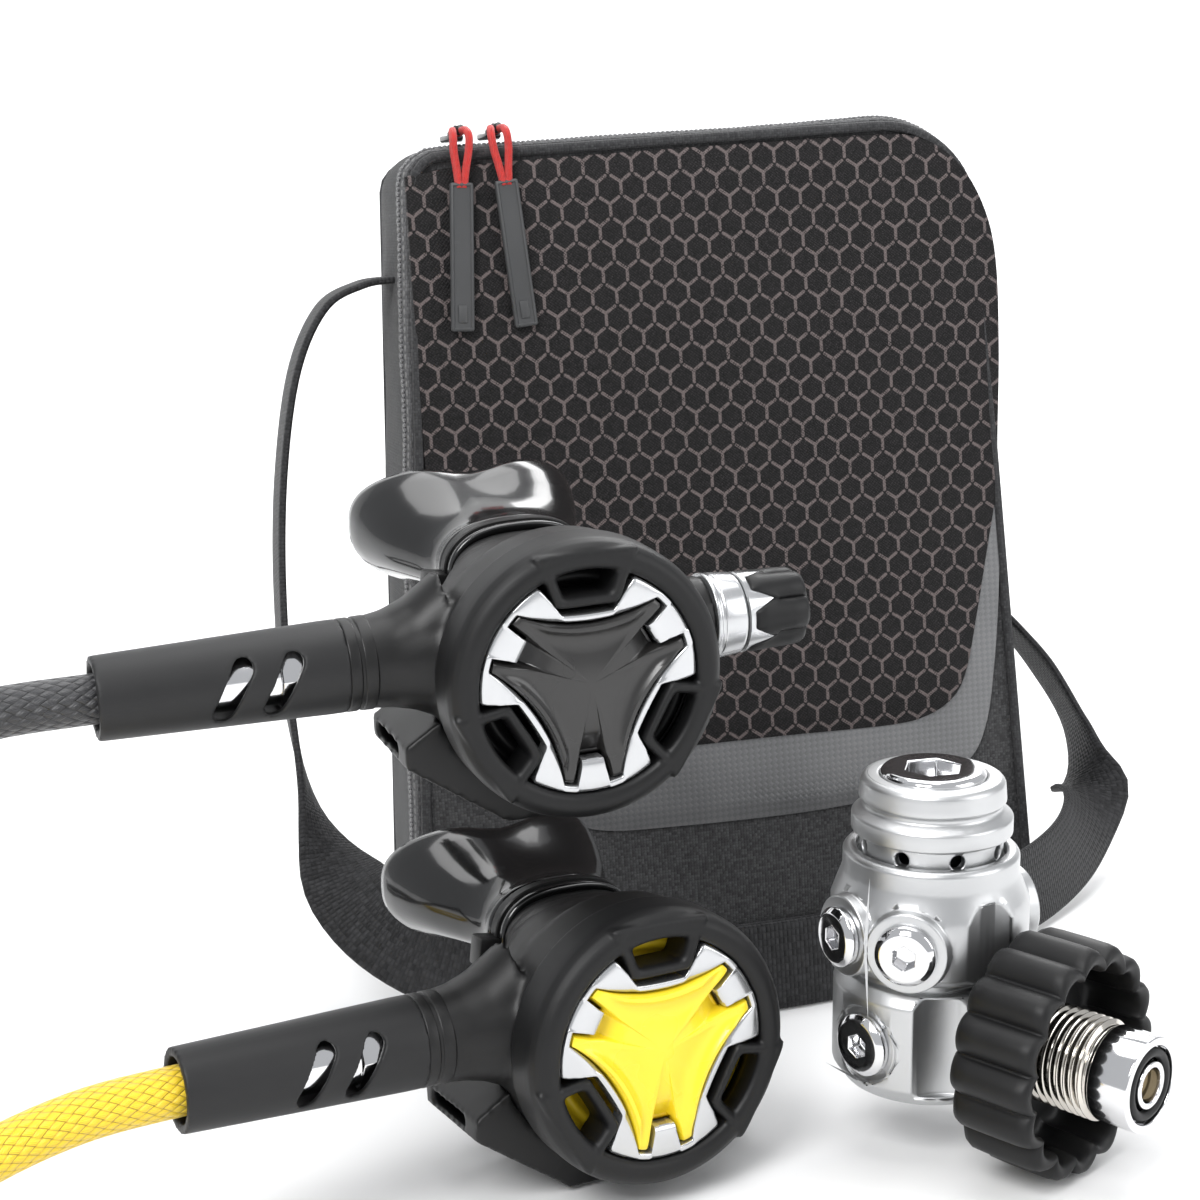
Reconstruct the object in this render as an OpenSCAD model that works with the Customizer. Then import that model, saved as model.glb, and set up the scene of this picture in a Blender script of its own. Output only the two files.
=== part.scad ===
// Scuba regulator set: first stage with a DIN fitting, a main and a spare second stage with
// their low-pressure hoses, and the zipped shoulder bag that the set is carried in.
// Millimetres, +Z up, floor at z = 0. The front of the bag looks along -Y.

/* [Bag] */
// Width of the bag at its base
bag_w = 186; // [150:1:230]
// Height of the bag
bag_h = 244; // [200:1:300]
// Depth of the bag
bag_d = 68; // [50:1:100]
// Radius of the front panel's far upper corner
bag_corner_r = 30; // [15:1:45]
// Thickness of the raised front panel
panel_t = 3; // [2:0.5:6]
// Width of the zip tape round the bag
zip_w = 11; // [6:0.5:16]
// Width of the shoulder strap's webbing
strap_w = 25; // [20:1:38]
// Thickness of the webbing
strap_t = 2; // [1.5:0.1:3]

/* [Second stages] */
// Radius of the front cover
cover_r = 32; // [29:0.5:38]
// Depth of the front cover
cover_depth = 13; // [9:0.5:16]
// Radius of the silver trim ring
trim_r = 25.3; // [24:0.1:26.5]
// Depth of the hose and valve axis behind the cover's face
axis_z = 26; // [24:0.5:30]
// Height of the hose and valve axis above the cover's centre
axis_y = 4; // [0:0.5:8]
// Outside radius of the valve tube
tube_r = 7; // [6:0.1:7.5]
// Travel of the purge button
purge_travel = 3; // [1:0.25:3.5]
// Half the width of the mouthpiece's lip flange
mouth_half_w = 29; // [24:0.5:34]
// Outside radius of the braided hose
hose_r = 5.5; // [4.5:0.1:6]
// Length of the sleeve over the hose's end
sleeve_len = 54; // [44:1:70]
// Radius of the adjusting knob
knob_r = 9.5; // [8:0.1:12]

/* [First stage] */
// Radius of the upper tier across its port bosses
upper_r = 26; // [24:0.5:30]
// Radius of the lower tier
lower_r = 22; // [20:0.5:25]
// Height of the lower tier
lower_h = 27; // [25:0.5:32]
// Height of the upper tier
upper_h = 27; // [24:0.5:32]
// Radius of the adjusting plug
adjuster_r = 12.2; // [10:0.1:13]
// Distance across the flats of the adjusting plug's hex socket
adjuster_af = 12; // [8:0.5:14]
// Radius of a low-pressure port's thread, a 3/8 inch thread
lp_r = 4.76; // [4.5:0.01:5]
// Radius of a high-pressure port's thread, a 7/16 inch thread
hp_r = 5.56; // [5.3:0.01:5.8]
// Radius of the DIN thread, a G5/8 thread
din_r = 11.455; // [11.4:0.005:11.5]
// Length of the DIN thread
din_thread_len = 18; // [14:0.5:24]
// Radius of the DIN handwheel over its lobes
wheel_r = 27; // [24:0.5:32]
// Number of lobes round the handwheel
wheel_lobes = 16; // [10:1:20]
// Length of the handwheel along its axis
wheel_len = 21; // [16:0.5:26]

/* [Fits] */
// Clearance all round a piece that turns or slides in another
run_gap = 0.1; // [0.05:0.01:0.2]
// Gap between neighbours that never touch
free_gap = 0.3; // [0.2:0.05:0.6]

/* [Hidden] */
$fn = 48;

// Where the set's natural centre lies in the working frame below
origin_x = -20.7;
origin_y = -75.6;

// Where each device stands and how it is turned
tee_drop = 5;
primary_at = [-72, -173, 120];
primary_turn = [96, 0, 8];
octopus_at = [-63, -181, cover_r + tee_drop + free_gap];
octopus_turn = [91, 2, 15];
stud_heading = -57;
stud_droop = 5;
first_stage_x = 4;
first_stage_y = -162;

// Second stage, in its own frame: centre of the cover's face at the origin, +Z out of the face,
// +Y towards 12 o'clock, hose towards -X
case_r = cover_r - 1.5;
case_wall = 2;
case_back = 36;
cover_wall = 2.2;
ear_angles = [90, 210, 330];
tab_angles = [30, 150, 270];
ear_in = trim_r - 7.7;
ear_out = trim_r + 1;
window_in = trim_r - 5.7;
window_out = (trim_r + cover_r) / 2 - 1.4;
tip_r = trim_r - 2.3;
star_d = tip_r * 2.23;
star_r = tip_r * 1.648;
tab_in = trim_r - 6.7;
tab_half_w = 4.6;
button_t = 2.6;
button_z = -1.2;
tube_in_r = tube_r - 1.2;
tube_end = 23;
stub_r = 5.4;
arm_end = 49;
arm_r = 10.2;
boss_end = 37;
collar_end = 45;
knob_len = 15;
lever_z = -16.8;
lever_x = 11;
lever_half_w = 3;
neck_half_w = 14;
neck_half_h = 9;
neck_end = 52;
neck_y = 14;
mouth_tilt = 6;
tie_w = 6;
sleeve_start = arm_end + 0.4;
sleeve_end = sleeve_start + sleeve_len;
nut_start = arm_end + 1;
nut_end = nut_start + 14;
ferrule_end = 84;
sleeve_r = 10.4;
sleeve_tip_r = 9.2;

// First stage, in its own frame: centre of the base at the origin, +Z up its axis, stud towards +X
tier_gap = 2.6;
upper_z = lower_h + tier_gap;
rim_r = 20.4;
rim_z = upper_z + upper_h;
cap_top = rim_z + 17;
cap_thread_r = 17.2;
din_z = 15.6;
wheel_in = 24;
thread_in = 30;
nose_end = 60;
lp_angles = [-66, -108];
lp_open_angles = [66, 108];
hp_angle = -96;
lp_z = upper_z + 9;
hp_z = 13;
lp_face = upper_r - 1.6;
hp_face = lower_r - 1.2;
port_depth = 9;
wheel_drop = (wheel_in + wheel_len) * sin(stud_droop) + wheel_r * cos(stud_droop);
first_stage_z = wheel_drop - din_z * cos(stud_droop) + free_gap;

// Coils of spare hose: radius of the middle of the turns, and where each ring lies
primary_coil_r = 61;
octopus_coil_r = 66;
primary_coil_at = [-350, -8];
octopus_coil_at = [-334, -166];
primary_coil_wide = 1;
octopus_coil_wide = 2;

// Routes of the hoses from their ferrules to their coils
primary_route = [
  [-159, -159.5, 126.7], [-178, -162.2, 126.7], [-200, -165, 126.2], [-222, -167, 122],
  [-241, -167, 113], [-257, -164, 100], [-270, -157, 84], [-279, -146, 67], [-285, -131, 50],
  [-288, -113, 34.5], [-289, -93, 21.5], [-289, -71, 12.5], [-289, -48, 7.5], [-289, -26, 6],
  [-289, -8, 6]
];
octopus_route = [
  [-151, -178, 44.7], [-169.5, -182.8, 45.3], [-190, -188.5, 44.8], [-211, -194.5, 40],
  [-231, -200.5, 31], [-249, -206, 20.5], [-268, -212, 12], [-288, -219, 7.3],
  [-310, -227, 6], [-334, -232, 6]
];

// Centre line of the strap, and how far each point of it has turned from lying across the bag's
// side, 0, to standing on its edge, 90
strap_route = [
  [-81.5, 34, 207, 0], [-92, 34, 206, 0], [-104, 33, 200, 0], [-114, 31, 182, 0],
  [-121, 27, 152, 0], [-125, 20, 118, 5], [-126, 8, 84, 15], [-122, -8, 52, 35],
  [-110, -28, 28, 60], [-88, -48, 16, 85], [-58, -62, 13, 90], [-22, -69, 13, 90],
  [16, -68, 13, 90], [52, -56, 13, 90], [86, -36, 14, 85], [112, -12, 18, 70],
  [126, 8, 28, 40], [128, 20, 46, 15], [120, 27, 66, 0], [109, 31, 82, 0], [98, 33, 94, 0]
];

// ---- Helpers ----

// Ring of points round p, spanned by the unit vectors u and v
function ring(p, u, v, r, n) = [for (i = [0:n - 1]) p + r * (u * cos(i * 360 / n) + v * sin(i * 360 / n))];

function unit(v) = v / norm(v);

// Direction of a route at point i
function heading(pts, i) = unit(pts[min(i + 1, len(pts) - 1)] - pts[max(i - 1, 0)]);

// Faces of a closed skin over rings of n points
function skin_faces(rings, n) = concat(
  [[for (j = [0:n - 1]) j]],
  [for (i = [0:rings - 2]) for (j = [0:n - 1])
    [i * n + j, (i + 1) * n + j, (i + 1) * n + (j + 1) % n, i * n + (j + 1) % n]],
  [[for (j = [n - 1:-1:0]) (rings - 1) * n + j]]
);

// Round tube along a route
module tube_along(pts, r, n = 12) {
  side = [for (i = [0:len(pts) - 1]) unit(cross([0, 0, 1], heading(pts, i)))];
  points = [for (i = [0:len(pts) - 1])
    each ring(pts[i], side[i], cross(heading(pts, i), side[i]), r, n)];
  polyhedron(points, skin_faces(len(pts), n), convexity = 6);
}

// Flat ribbon along a route whose fourth value is the turn of its width from Y towards Z
module ribbon_along(route, w, t) {
  pts = [for (q = route) [q[0], q[1], q[2]]];
  points = [for (i = [0:len(pts) - 1])
    let (
      h = heading(pts, i),
      across = unit(cross(cross(h, [0, cos(route[i][3]), sin(route[i][3])]), h)),
      out = cross(h, across)
    )
    each [
      pts[i] + across * w / 2 + out * t / 2, pts[i] - across * w / 2 + out * t / 2,
      pts[i] - across * w / 2 - out * t / 2, pts[i] + across * w / 2 - out * t / 2
    ]];
  polyhedron(points, skin_faces(len(pts), 4), convexity = 10);
}

// Plan outline of a slot with round ends, lying along X
module stadium(half_w, half_h) {
  square([2 * (half_w - half_h), 2 * half_h], center = true);
  for (s = [-1, 1]) translate([s * (half_w - half_h), 0]) circle(r = half_h);
}

// Puts things along the X axis of a frame: their own +Z becomes +X
module along_x(x = 0) { translate([x, 0, 0]) rotate([0, 90, 0]) children(); }

module on_set() { translate([-origin_x, -origin_y, 0]) children(); }
module on_primary() { on_set() translate(primary_at) rotate(primary_turn) children(); }
module on_octopus() { on_set() translate(octopus_at) rotate(octopus_turn) children(); }
module on_first_stage() {
  on_set() translate([first_stage_x, first_stage_y, first_stage_z])
    rotate([0, 0, stud_heading]) rotate([0, stud_droop, 0]) children();
}
module on_valve_axis() { translate([0, axis_y, -axis_z]) children(); }

// ---- Bag ----

// Outline of the bag seen from the front, drawn in by the inset
module bag_outline(inset = 0) {
  hull() {
    translate([-bag_w / 2 + 10, 10]) circle(r = 10 - inset);
    translate([bag_w / 2 - 5, 13]) circle(r = 13 - inset);
    translate([bag_w / 2 - bag_corner_r - 1, bag_h - bag_corner_r - 1]) circle(r = bag_corner_r - inset);
    translate([-bag_w / 2 + 23, bag_h - 11]) circle(r = 9 - inset);
  }
}

// Stands a drawing of the front view up and gives it depth from y0 back to y1
module upright(y0, y1) { translate([0, y1, 0]) rotate([90, 0, 0]) linear_extrude(y1 - y0) children(); }

module bag_body() {
  color("#3c3d40") on_set() upright(0, bag_d) bag_outline();
}

module bag_front() {
  color("#1d1c1d") on_set() upright(-panel_t, 0) intersection() {
    bag_outline(6);
    translate([-bag_w / 2, bag_h * 0.27]) square([bag_w + 20, bag_h]);
  }
}

module bag_zip() {
  color("#6b6c70") on_set() upright(3, 3 + zip_w) difference() {
    intersection() {
      bag_outline(-1.6);
      union() {
        translate([-bag_w, 22]) square([bag_w / 2 + 40, bag_h]);
        translate([-bag_w, bag_h / 2]) square([2 * bag_w - 34, bag_h]);
      }
    }
    bag_outline();
  }
}

module bag_strap() {
  color("#161617") on_set() ribbon_along(strap_route, strap_w, strap_t);
}

slider_x = [-64, -53];
pull_lean = [4, -4];
slider_z = bag_h + 1;
pull_len = 55;

// Slider that rides on the zip, with the bar that its pull hangs on
module zip_slider(x) {
  translate([x, 3 + zip_w / 2, slider_z]) {
    translate([-3.5, -4, 0]) cube([7, 9, 2.4]);
    translate([-1, -4, 1.6]) cube([2, 6, 1.4]);
  }
}

// Cord loop and rubber tab: from the slider's bar over the bag's front edge and down its face
module zip_pull(x, lean) {
  translate([x, 3.2, slider_z + 1.2]) {
    translate([-3.2, -panel_t - 5.6, -0.1]) cube([6.4, panel_t + 5.2, 1.6]);
    translate([0, -panel_t - 4.8, 0]) rotate([0, lean, 0]) {
      translate([-3.2, -0.8, -16]) cube([6.4, 1.6, 17.4]);
      translate([-3.6, -1.3, -pull_len]) cube([7.2, 2.6, 42]);
    }
  }
}

module zip_slider_left() { color("#202022") on_set() zip_slider(slider_x[0]); }
module zip_slider_right() { color("#202022") on_set() zip_slider(slider_x[1]); }
module zip_pull_left() { color("#5b5c60") on_set() zip_pull(slider_x[0], pull_lean[0]); }
module zip_pull_right() { color("#5b5c60") on_set() zip_pull(slider_x[1], pull_lean[1]); }

// ---- First stage ----

// Places things on the port axis at an angle round the body: their +Z points out of the port
module at_port(angle, z, dist) { rotate([0, 0, angle]) translate([dist, 0, z]) rotate([0, 90, 0]) children(); }

module fs_body() {
  color("#c4c6c8") on_first_stage() difference() {
    union() {
      rotate_extrude($fn = 96) polygon([
        [0, 0], [lower_r - 3, 0], [lower_r, 4], [lower_r, lower_h - 3], [lower_r - 2, lower_h],
        [18, lower_h], [18, upper_z], [upper_r - 5, upper_z], [upper_r - 3, upper_z + 2],
        [upper_r - 3, upper_z + 15], [rim_r + 0.6, upper_z + 20], [rim_r, upper_z + 22],
        [rim_r, rim_z - 1], [rim_r - 1, rim_z], [0, rim_z]
      ]);
      for (a = concat(lp_angles, lp_open_angles)) at_port(a, lp_z, 8)
        cylinder(r = 9.4, h = lp_face - 8);
      for (s = [-1, 1]) at_port(s * abs(hp_angle), hp_z, 8) cylinder(r = 9, h = hp_face - 8);
      at_port(0, din_z, 8) cylinder(r = 11, h = wheel_in - 9);
    }
    // Spring chamber, open at the top, and the thread that the cap screws into
    translate([0, 0, upper_z + 13]) cylinder(r = cap_thread_r + run_gap, h = upper_h, $fn = 96);
    // Valve chamber, closed from below by the chamber plug
    translate([0, 0, -1]) cylinder(r = 9 + run_gap, h = 8);
    translate([0, 0, 3]) cylinder(r = 6.5, h = 18);
    // Orifice and the low-pressure chamber under the diaphragm
    translate([0, 0, 20]) cylinder(r = 2, h = upper_h);
    translate([0, 0, upper_z + 5]) cylinder(r = 14, h = 9);
    for (a = concat(lp_angles, lp_open_angles)) {
      at_port(a, lp_z, lp_face - port_depth) cylinder(r = lp_r, h = port_depth + 4);
      at_port(a, lp_z, 10) cylinder(r = 2.2, h = lp_face - 10);
      at_port(a, lp_z, lp_face) cylinder(r = 9.4, h = 9);
    }
    for (s = [-1, 1]) {
      at_port(s * abs(hp_angle), hp_z, hp_face - port_depth) cylinder(r = hp_r, h = port_depth + 4);
      at_port(s * abs(hp_angle), hp_z, 5) cylinder(r = 1.5, h = hp_face - 5);
      at_port(s * abs(hp_angle), hp_z, hp_face) cylinder(r = 9, h = 9);
    }
    // Inlet that the DIN bolt screws into
    at_port(0, din_z, 13) cylinder(r = 8, h = 20);
    at_port(0, din_z, 4) cylinder(r = 2.5, h = 12);
    // Hollows milled between the ports
    for (a = [-45, 45]) rotate([0, 0, a]) translate([lower_r + 9, 0, 3]) cylinder(r = 12, h = lower_h - 3.5);
    for (a = [-16, 160, 200]) rotate([0, 0, a]) translate([upper_r + 14, 0, upper_z - 1])
      cylinder(r = 19, h = 20);
  }
}

cap_base = upper_z + 16.6;

module fs_cap() {
  color("#cfd1d3") on_first_stage() difference() {
    rotate_extrude($fn = 96) polygon([
      [0, cap_base], [cap_thread_r, cap_base], [cap_thread_r, rim_z - 2], [16.5, rim_z - 2],
      [16.5, rim_z + 3.5], [18.6, rim_z + 4], [18.6, rim_z + 8], [16, rim_z + 9.8],
      [16, rim_z + 11], [17, rim_z + 11.6], [16.6, cap_top - 1], [15.6, cap_top], [0, cap_top]
    ]);
    translate([0, 0, cap_base - 1]) cylinder(r = 14, h = cap_top - cap_base - 7);
    translate([0, 0, cap_top - 9]) cylinder(r = adjuster_r + run_gap, h = 10);
    for (a = [0:45:315]) rotate([0, 0, a + 12]) translate([0, 0, rim_z + 1])
      rotate([0, 90, 0]) cylinder(r = 1.7, h = 20, $fn = 24);
  }
}

module fs_adjuster() {
  color("#dcdcdc") on_first_stage() difference() {
    union() {
      translate([0, 0, cap_top - 7]) cylinder(r = adjuster_r, h = 7.6);
      translate([0, 0, cap_top + 0.6]) cylinder(r1 = adjuster_r, r2 = adjuster_r - 1, h = 1);
    }
    translate([0, 0, cap_top - 4]) cylinder(d = adjuster_af / cos(30), h = 8, $fn = 6);
    translate([0, 0, cap_top - 10]) cylinder(r = 4.5, h = 10);
  }
}

// Spring, as the sleeve that its coils fill
module spring_sleeve(r, wire, z0, z1) {
  translate([0, 0, z0]) difference() {
    cylinder(r = r, h = z1 - z0);
    translate([0, 0, -1]) cylinder(r = r - wire, h = z1 - z0 + 2);
  }
}

module fs_main_spring() {
  color("#9a9ca0") on_first_stage() spring_sleeve(11, 3, cap_base + 0.4, cap_top - 7.4);
}

module fs_diaphragm() {
  color("#26272a") on_first_stage() {
    translate([0, 0, upper_z + 14.2]) cylinder(r = 16.8, h = 1.8);
    translate([0, 0, upper_z + 16]) cylinder(r = 12, h = 0.9);
  }
}

module fs_poppet() {
  color("#b9a76a") on_first_stage() {
    translate([0, 0, 14.5]) cylinder(r = 4.2, h = 3.6);
    translate([0, 0, 18]) cylinder(r = 1.2, h = upper_z - 4);
  }
}

module fs_poppet_spring() {
  color("#9a9ca0") on_first_stage() spring_sleeve(4, 0.8, 7.4, 14.1);
}

module fs_chamber_plug() {
  color("#bfc1c3") on_first_stage() difference() {
    union() {
      translate([0, 0, 0.3]) cylinder(r = 9, h = 5.4);
      cylinder(r = 8, h = 7);
    }
    translate([0, 0, -1]) cylinder(d = 6 / cos(30), h = 4, $fn = 6);
  }
}

// Blanking plug with a domed rim and a hex socket, its seat at z = 0
module port_plug(thread_r, head_r) {
  difference() {
    union() {
      cylinder(r = head_r, h = 1.6);
      translate([0, 0, 1.6]) cylinder(r1 = head_r, r2 = head_r - 1.4, h = 1.2);
      translate([0, 0, 0.5 - port_depth]) cylinder(r = thread_r - 0.06, h = port_depth);
    }
    translate([0, 0, -1.2]) cylinder(d = 5 / cos(30), h = 6, $fn = 6);
  }
}

module fs_port_plugs() {
  color("#e4e4e4") on_first_stage() {
    for (a = lp_angles) at_port(a, lp_z, lp_face + 0.05) port_plug(lp_r, 7);
    for (s = [-1, 1]) at_port(s * abs(hp_angle), hp_z, hp_face + 0.05) port_plug(hp_r, 7.4);
  }
}

bolt_r = 7;
nose_r = 10.9;

module din_bolt() {
  color("#d8d9db") on_first_stage() translate([0, 0, din_z]) difference() {
    union() {
      along_x(13.2) cylinder(r = 7.9, h = 10);
      along_x(13.2) cylinder(r = bolt_r, h = nose_end - 16);
      along_x(nose_end - 9.8) cylinder(r = nose_r, h = 9.8, $fn = 64);
    }
    along_x(12) cylinder(r = 2.6, h = nose_end);
    along_x(nose_end - 2.4) difference() {
      cylinder(r = 8.9, h = 4);
      translate([0, 0, -1]) cylinder(r = 5.4, h = 6);
    }
    along_x(nose_end - 6) cylinder(r = 4, h = 7);
  }
}

module din_filter() {
  color("#8f8457") on_first_stage() translate([0, 0, din_z]) along_x(nose_end - 5.9)
    cylinder(r1 = 3.9, r2 = 3.2, h = 3);
}

module din_o_ring() {
  color("#111112") on_first_stage() translate([0, 0, din_z]) along_x(nose_end - 1.2)
    rotate_extrude($fn = 64) translate([7.2, 0]) circle(r = 1.15, $fn = 24);
}

module din_thread() {
  color("#cfcac2") on_first_stage() translate([0, 0, din_z]) difference() {
    union() {
      along_x(thread_in + 1.6) cylinder(r = din_r, h = din_thread_len, $fn = 64);
      along_x(wheel_in) cylinder(r = 10.6, h = 10);
    }
    along_x(wheel_in - 1) cylinder(r = bolt_r + run_gap, h = nose_end);
  }
}

// Outline of the handwheel: a disc with round lobes, less its bore
module wheel_outline(bore_r) {
  difference() {
    union() {
      circle(r = wheel_r - 2.2, $fn = 96);
      for (i = [0:wheel_lobes - 1]) rotate((i + 0.5) * 360 / wheel_lobes)
        translate([wheel_r - 3.2, 0]) circle(r = 3.2, $fn = 24);
    }
    circle(r = bore_r, $fn = 96);
  }
}

module din_handwheel() {
  color("#1a1a1b") on_first_stage() translate([0, 0, din_z]) along_x(wheel_in) {
    linear_extrude(6) wheel_outline(10.65);
    translate([0, 0, 6]) linear_extrude(wheel_len - 6) wheel_outline(wheel_r - 5.5);
  }
}

// ---- Second stage ----

// Outline of the purge button: six points round three wide hollows and three slots
module star(grow = 0) {
  difference() {
    circle(r = tip_r + grow, $fn = 64);
    for (a = ear_angles) rotate(a) translate([star_d, 0]) circle(r = star_r - grow, $fn = 96);
    for (a = tab_angles) rotate(a) translate([tab_in - 1.6 + grow, -tab_half_w + grow])
      square([20, 2 * (tab_half_w - grow)]);
  }
}

// Tapered pad between two distances from the centre, towards an angle
module wedge_2d(a, r0, r1, w0, w1) {
  rotate(a) offset(r = 1.5, $fn = 24) offset(delta = -1.5)
    polygon([[r0, -w0], [r1, -w1], [r1, w1], [r0, w0]]);
}

module stage_cover() {
  difference() {
    union() {
      translate([0, 0, -cover_depth]) cylinder(r = cover_r, h = cover_depth - 2.5, $fn = 96);
      translate([0, 0, -2.5]) cylinder(r1 = cover_r, r2 = cover_r - 2, h = 2.5, $fn = 96);
    }
    translate([0, 0, -cover_depth - 1]) cylinder(r = cover_r - cover_wall, h = cover_depth - 3, $fn = 96);
    translate([0, 0, -cover_depth]) cylinder(r = trim_r + 0.05, h = cover_depth + 1, $fn = 96);
    for (a = ear_angles) translate([0, 0, -8]) linear_extrude(9) wedge_2d(a, window_in, window_out, 5, 7);
  }
  for (a = ear_angles) translate([0, 0, -2.6]) linear_extrude(2.8) difference() {
    wedge_2d(a, ear_in, ear_out + 1.4, 6.6, 9);
    wedge_2d(a, window_in, window_out, 5, 7);
    difference() {
      circle(r = 60);
      circle(r = trim_r + 0.7, $fn = 96);
    }
  }
}

module stage_trim() {
  translate([0, 0, -4.2]) linear_extrude(3.2) difference() {
    circle(r = trim_r, $fn = 96);
    star(0.6);
    circle(r = 12);
    for (a = ear_angles) wedge_2d(a, ear_in - 0.1, ear_out + 4, 6.7, 9.4);
  }
  translate([0, 0, -5.4]) difference() {
    cylinder(r = trim_r, h = 1.2, $fn = 96);
    translate([0, 0, -1]) cylinder(r = tip_r + 0.8, h = 4, $fn = 96);
  }
}

module stage_button() {
  translate([0, 0, button_z - button_t]) linear_extrude(button_t) star();
  translate([0, 0, button_z]) cylinder(r1 = 12.6, r2 = 8, h = 1);
  translate([0, 0, -12.6]) cylinder(r = 9, h = 9);
}

module stage_diaphragm() {
  translate([0, 0, -14]) cylinder(r = case_r - case_wall - 0.2, h = 0.8, $fn = 96);
  translate([0, 0, -14.4]) cylinder(r = 14, h = 0.5);
  translate([0, 0, -13.4]) difference() {
    cylinder(r = 24, h = 1.6);
    translate([0, 0, -1]) cylinder(r = 21, h = 4);
  }
}

// Outside of the case, grown by the gap that a neighbour keeps from it
module case_outside(grow = 0) {
  rotate_extrude($fn = 96) polygon([
    [0, -case_back - grow], [18 + grow, -case_back - grow], [25 + grow, -case_back + 3 - grow],
    [case_r + grow, -24], [case_r + grow, -cover_depth - 0.1], [0, -cover_depth - 0.1]
  ]);
  on_valve_axis() along_x(-arm_end) cylinder(r = arm_r + grow, h = arm_end);
  on_valve_axis() along_x(-arm_end + 8) cylinder(r1 = arm_r + grow, r2 = arm_r + 6 + grow, h = 24);
  translate([0, neck_y, -neck_end]) linear_extrude(neck_end - 20)
    stadium(neck_half_w + grow, neck_half_h + grow);
}

exhaust_y = -13;
exhaust_r = 8.5;
stem_r = 1.3;

module stage_case(boss_len) {
  tube_seat = boss_len > 0 ? boss_len + 1 : tube_end + 0.3;
  difference() {
    union() {
      case_outside();
      if (boss_len > 0) on_valve_axis() along_x() cylinder(r = arm_r - 0.4, h = boss_len);
    }
    // Hollow behind the diaphragm
    translate([0, 0, -case_back + 3]) cylinder(r = 22, h = 12);
    translate([0, 0, -24]) cylinder(r = case_r - case_wall, h = 20, $fn = 96);
    // Seat of the valve tube, through the arm and the boss
    on_valve_axis() along_x(-arm_end - 1) cylinder(r = tube_r + 0.05, h = arm_end + 1 + tube_seat);
    // Way to the mouthpiece
    translate([0, neck_y, -neck_end - 1]) linear_extrude(neck_end - 20)
      stadium(neck_half_w - 3, neck_half_h - 3);
    // Exhaust port, crossed by the bar that holds the exhaust valve's stem
    translate([0, exhaust_y, -case_back - 1]) difference() {
      cylinder(r = exhaust_r, h = 8);
      translate([-exhaust_r - 1, -2, 1]) cube([2 * exhaust_r + 2, 4, 2]);
    }
    translate([0, exhaust_y, -case_back - 1]) cylinder(r = stem_r + 0.05, h = 8, $fn = 24);
  }
}

module stage_lever() {
  translate([-5, axis_y - lever_half_w, lever_z]) cube([lever_x + 5.6, 2 * lever_half_w, 0.8]);
  translate([lever_x - 0.6, axis_y - lever_half_w, lever_z - 6]) cube([1.2, 2 * lever_half_w, 6.4]);
}

// Valve tube; the main second stage's one ends in the silver collar under the adjusting knob
module stage_valve_tube(boss_len) {
  end = boss_len > 0 ? boss_len : tube_end;
  on_valve_axis() difference() {
    union() {
      along_x(-arm_end + 2) cylinder(r = tube_r, h = arm_end - 2 + end);
      along_x(-nut_end - 1) cylinder(r = stub_r, h = nut_end);
      if (boss_len > 0) along_x(boss_len + free_gap) cylinder(r1 = arm_r, r2 = arm_r - 2.4, h = collar_end - boss_len);
      if (boss_len > 0) along_x(boss_len - 1) cylinder(r = tube_r, h = 3);
    }
    along_x(-17) cylinder(r = tube_in_r, h = 17 + 2 * collar_end);
    along_x(-nut_end - 2) cylinder(r = 3, h = nut_end);
    translate([lever_x - 2.4, -lever_half_w - 0.5, 0]) cube([4.8, 2 * lever_half_w + 1, tube_r + 1]);
  }
}

module stage_poppet() {
  on_valve_axis() difference() {
    along_x(-16) cylinder(r = tube_in_r - run_gap, h = 31);
    translate([lever_x - 1.6, -tube_r, 2.6]) cube([10, 2 * tube_r, tube_r]);
  }
}

module stage_poppet_spring() {
  on_valve_axis() rotate([0, 90, 0]) spring_sleeve(4.6, 1, 15.1, tube_end - 0.3);
}

module stage_exhaust_valve() {
  translate([0, exhaust_y, -case_back - 1.1]) cylinder(r = exhaust_r + 1.6, h = 1);
  translate([0, exhaust_y, -case_back - 1.1]) cylinder(r = stem_r, h = 5, $fn = 24);
}

tee_half_w = 37;
tee_z0 = -50;
tee_z1 = -21;
tee_wall = 1.8;

// Outline of the exhaust tee from the front, drawn in by the inset
module tee_outline(inset = 0) {
  low = -cover_r - tee_drop + inset;
  polygon([
    [-tee_half_w + inset, -16 - inset], [-tee_half_w + inset, -21 + inset], [-14 + inset, low],
    [14 - inset, low], [tee_half_w - inset, -21 + inset], [tee_half_w - inset, -16 - inset],
    [14 - inset, -1.5 - inset], [-14 + inset, -1.5 - inset]
  ]);
}

module stage_exhaust_tee() {
  difference() {
    translate([0, 0, tee_z0]) linear_extrude(tee_z1 - tee_z0) tee_outline();
    translate([0, 0, tee_z0 + tee_wall]) linear_extrude(tee_z1 - tee_z0 - 2 * tee_wall) tee_outline(tee_wall);
    case_outside(0.05);
    translate([0, exhaust_y, -case_back - 2]) cylinder(r = exhaust_r + 2.4, h = 8);
    for (s = [-1, 1]) translate([s * tee_half_w, -18.5, (tee_z0 + tee_z1) / 2 - 2]) cube([8, 3, 18], center = true);
  }
}

mouth_y = 19;
mouth_z = -84;
mouth_wall = 2.6;
lip_t = 3.6;
lip_curve_r = 48;

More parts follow.
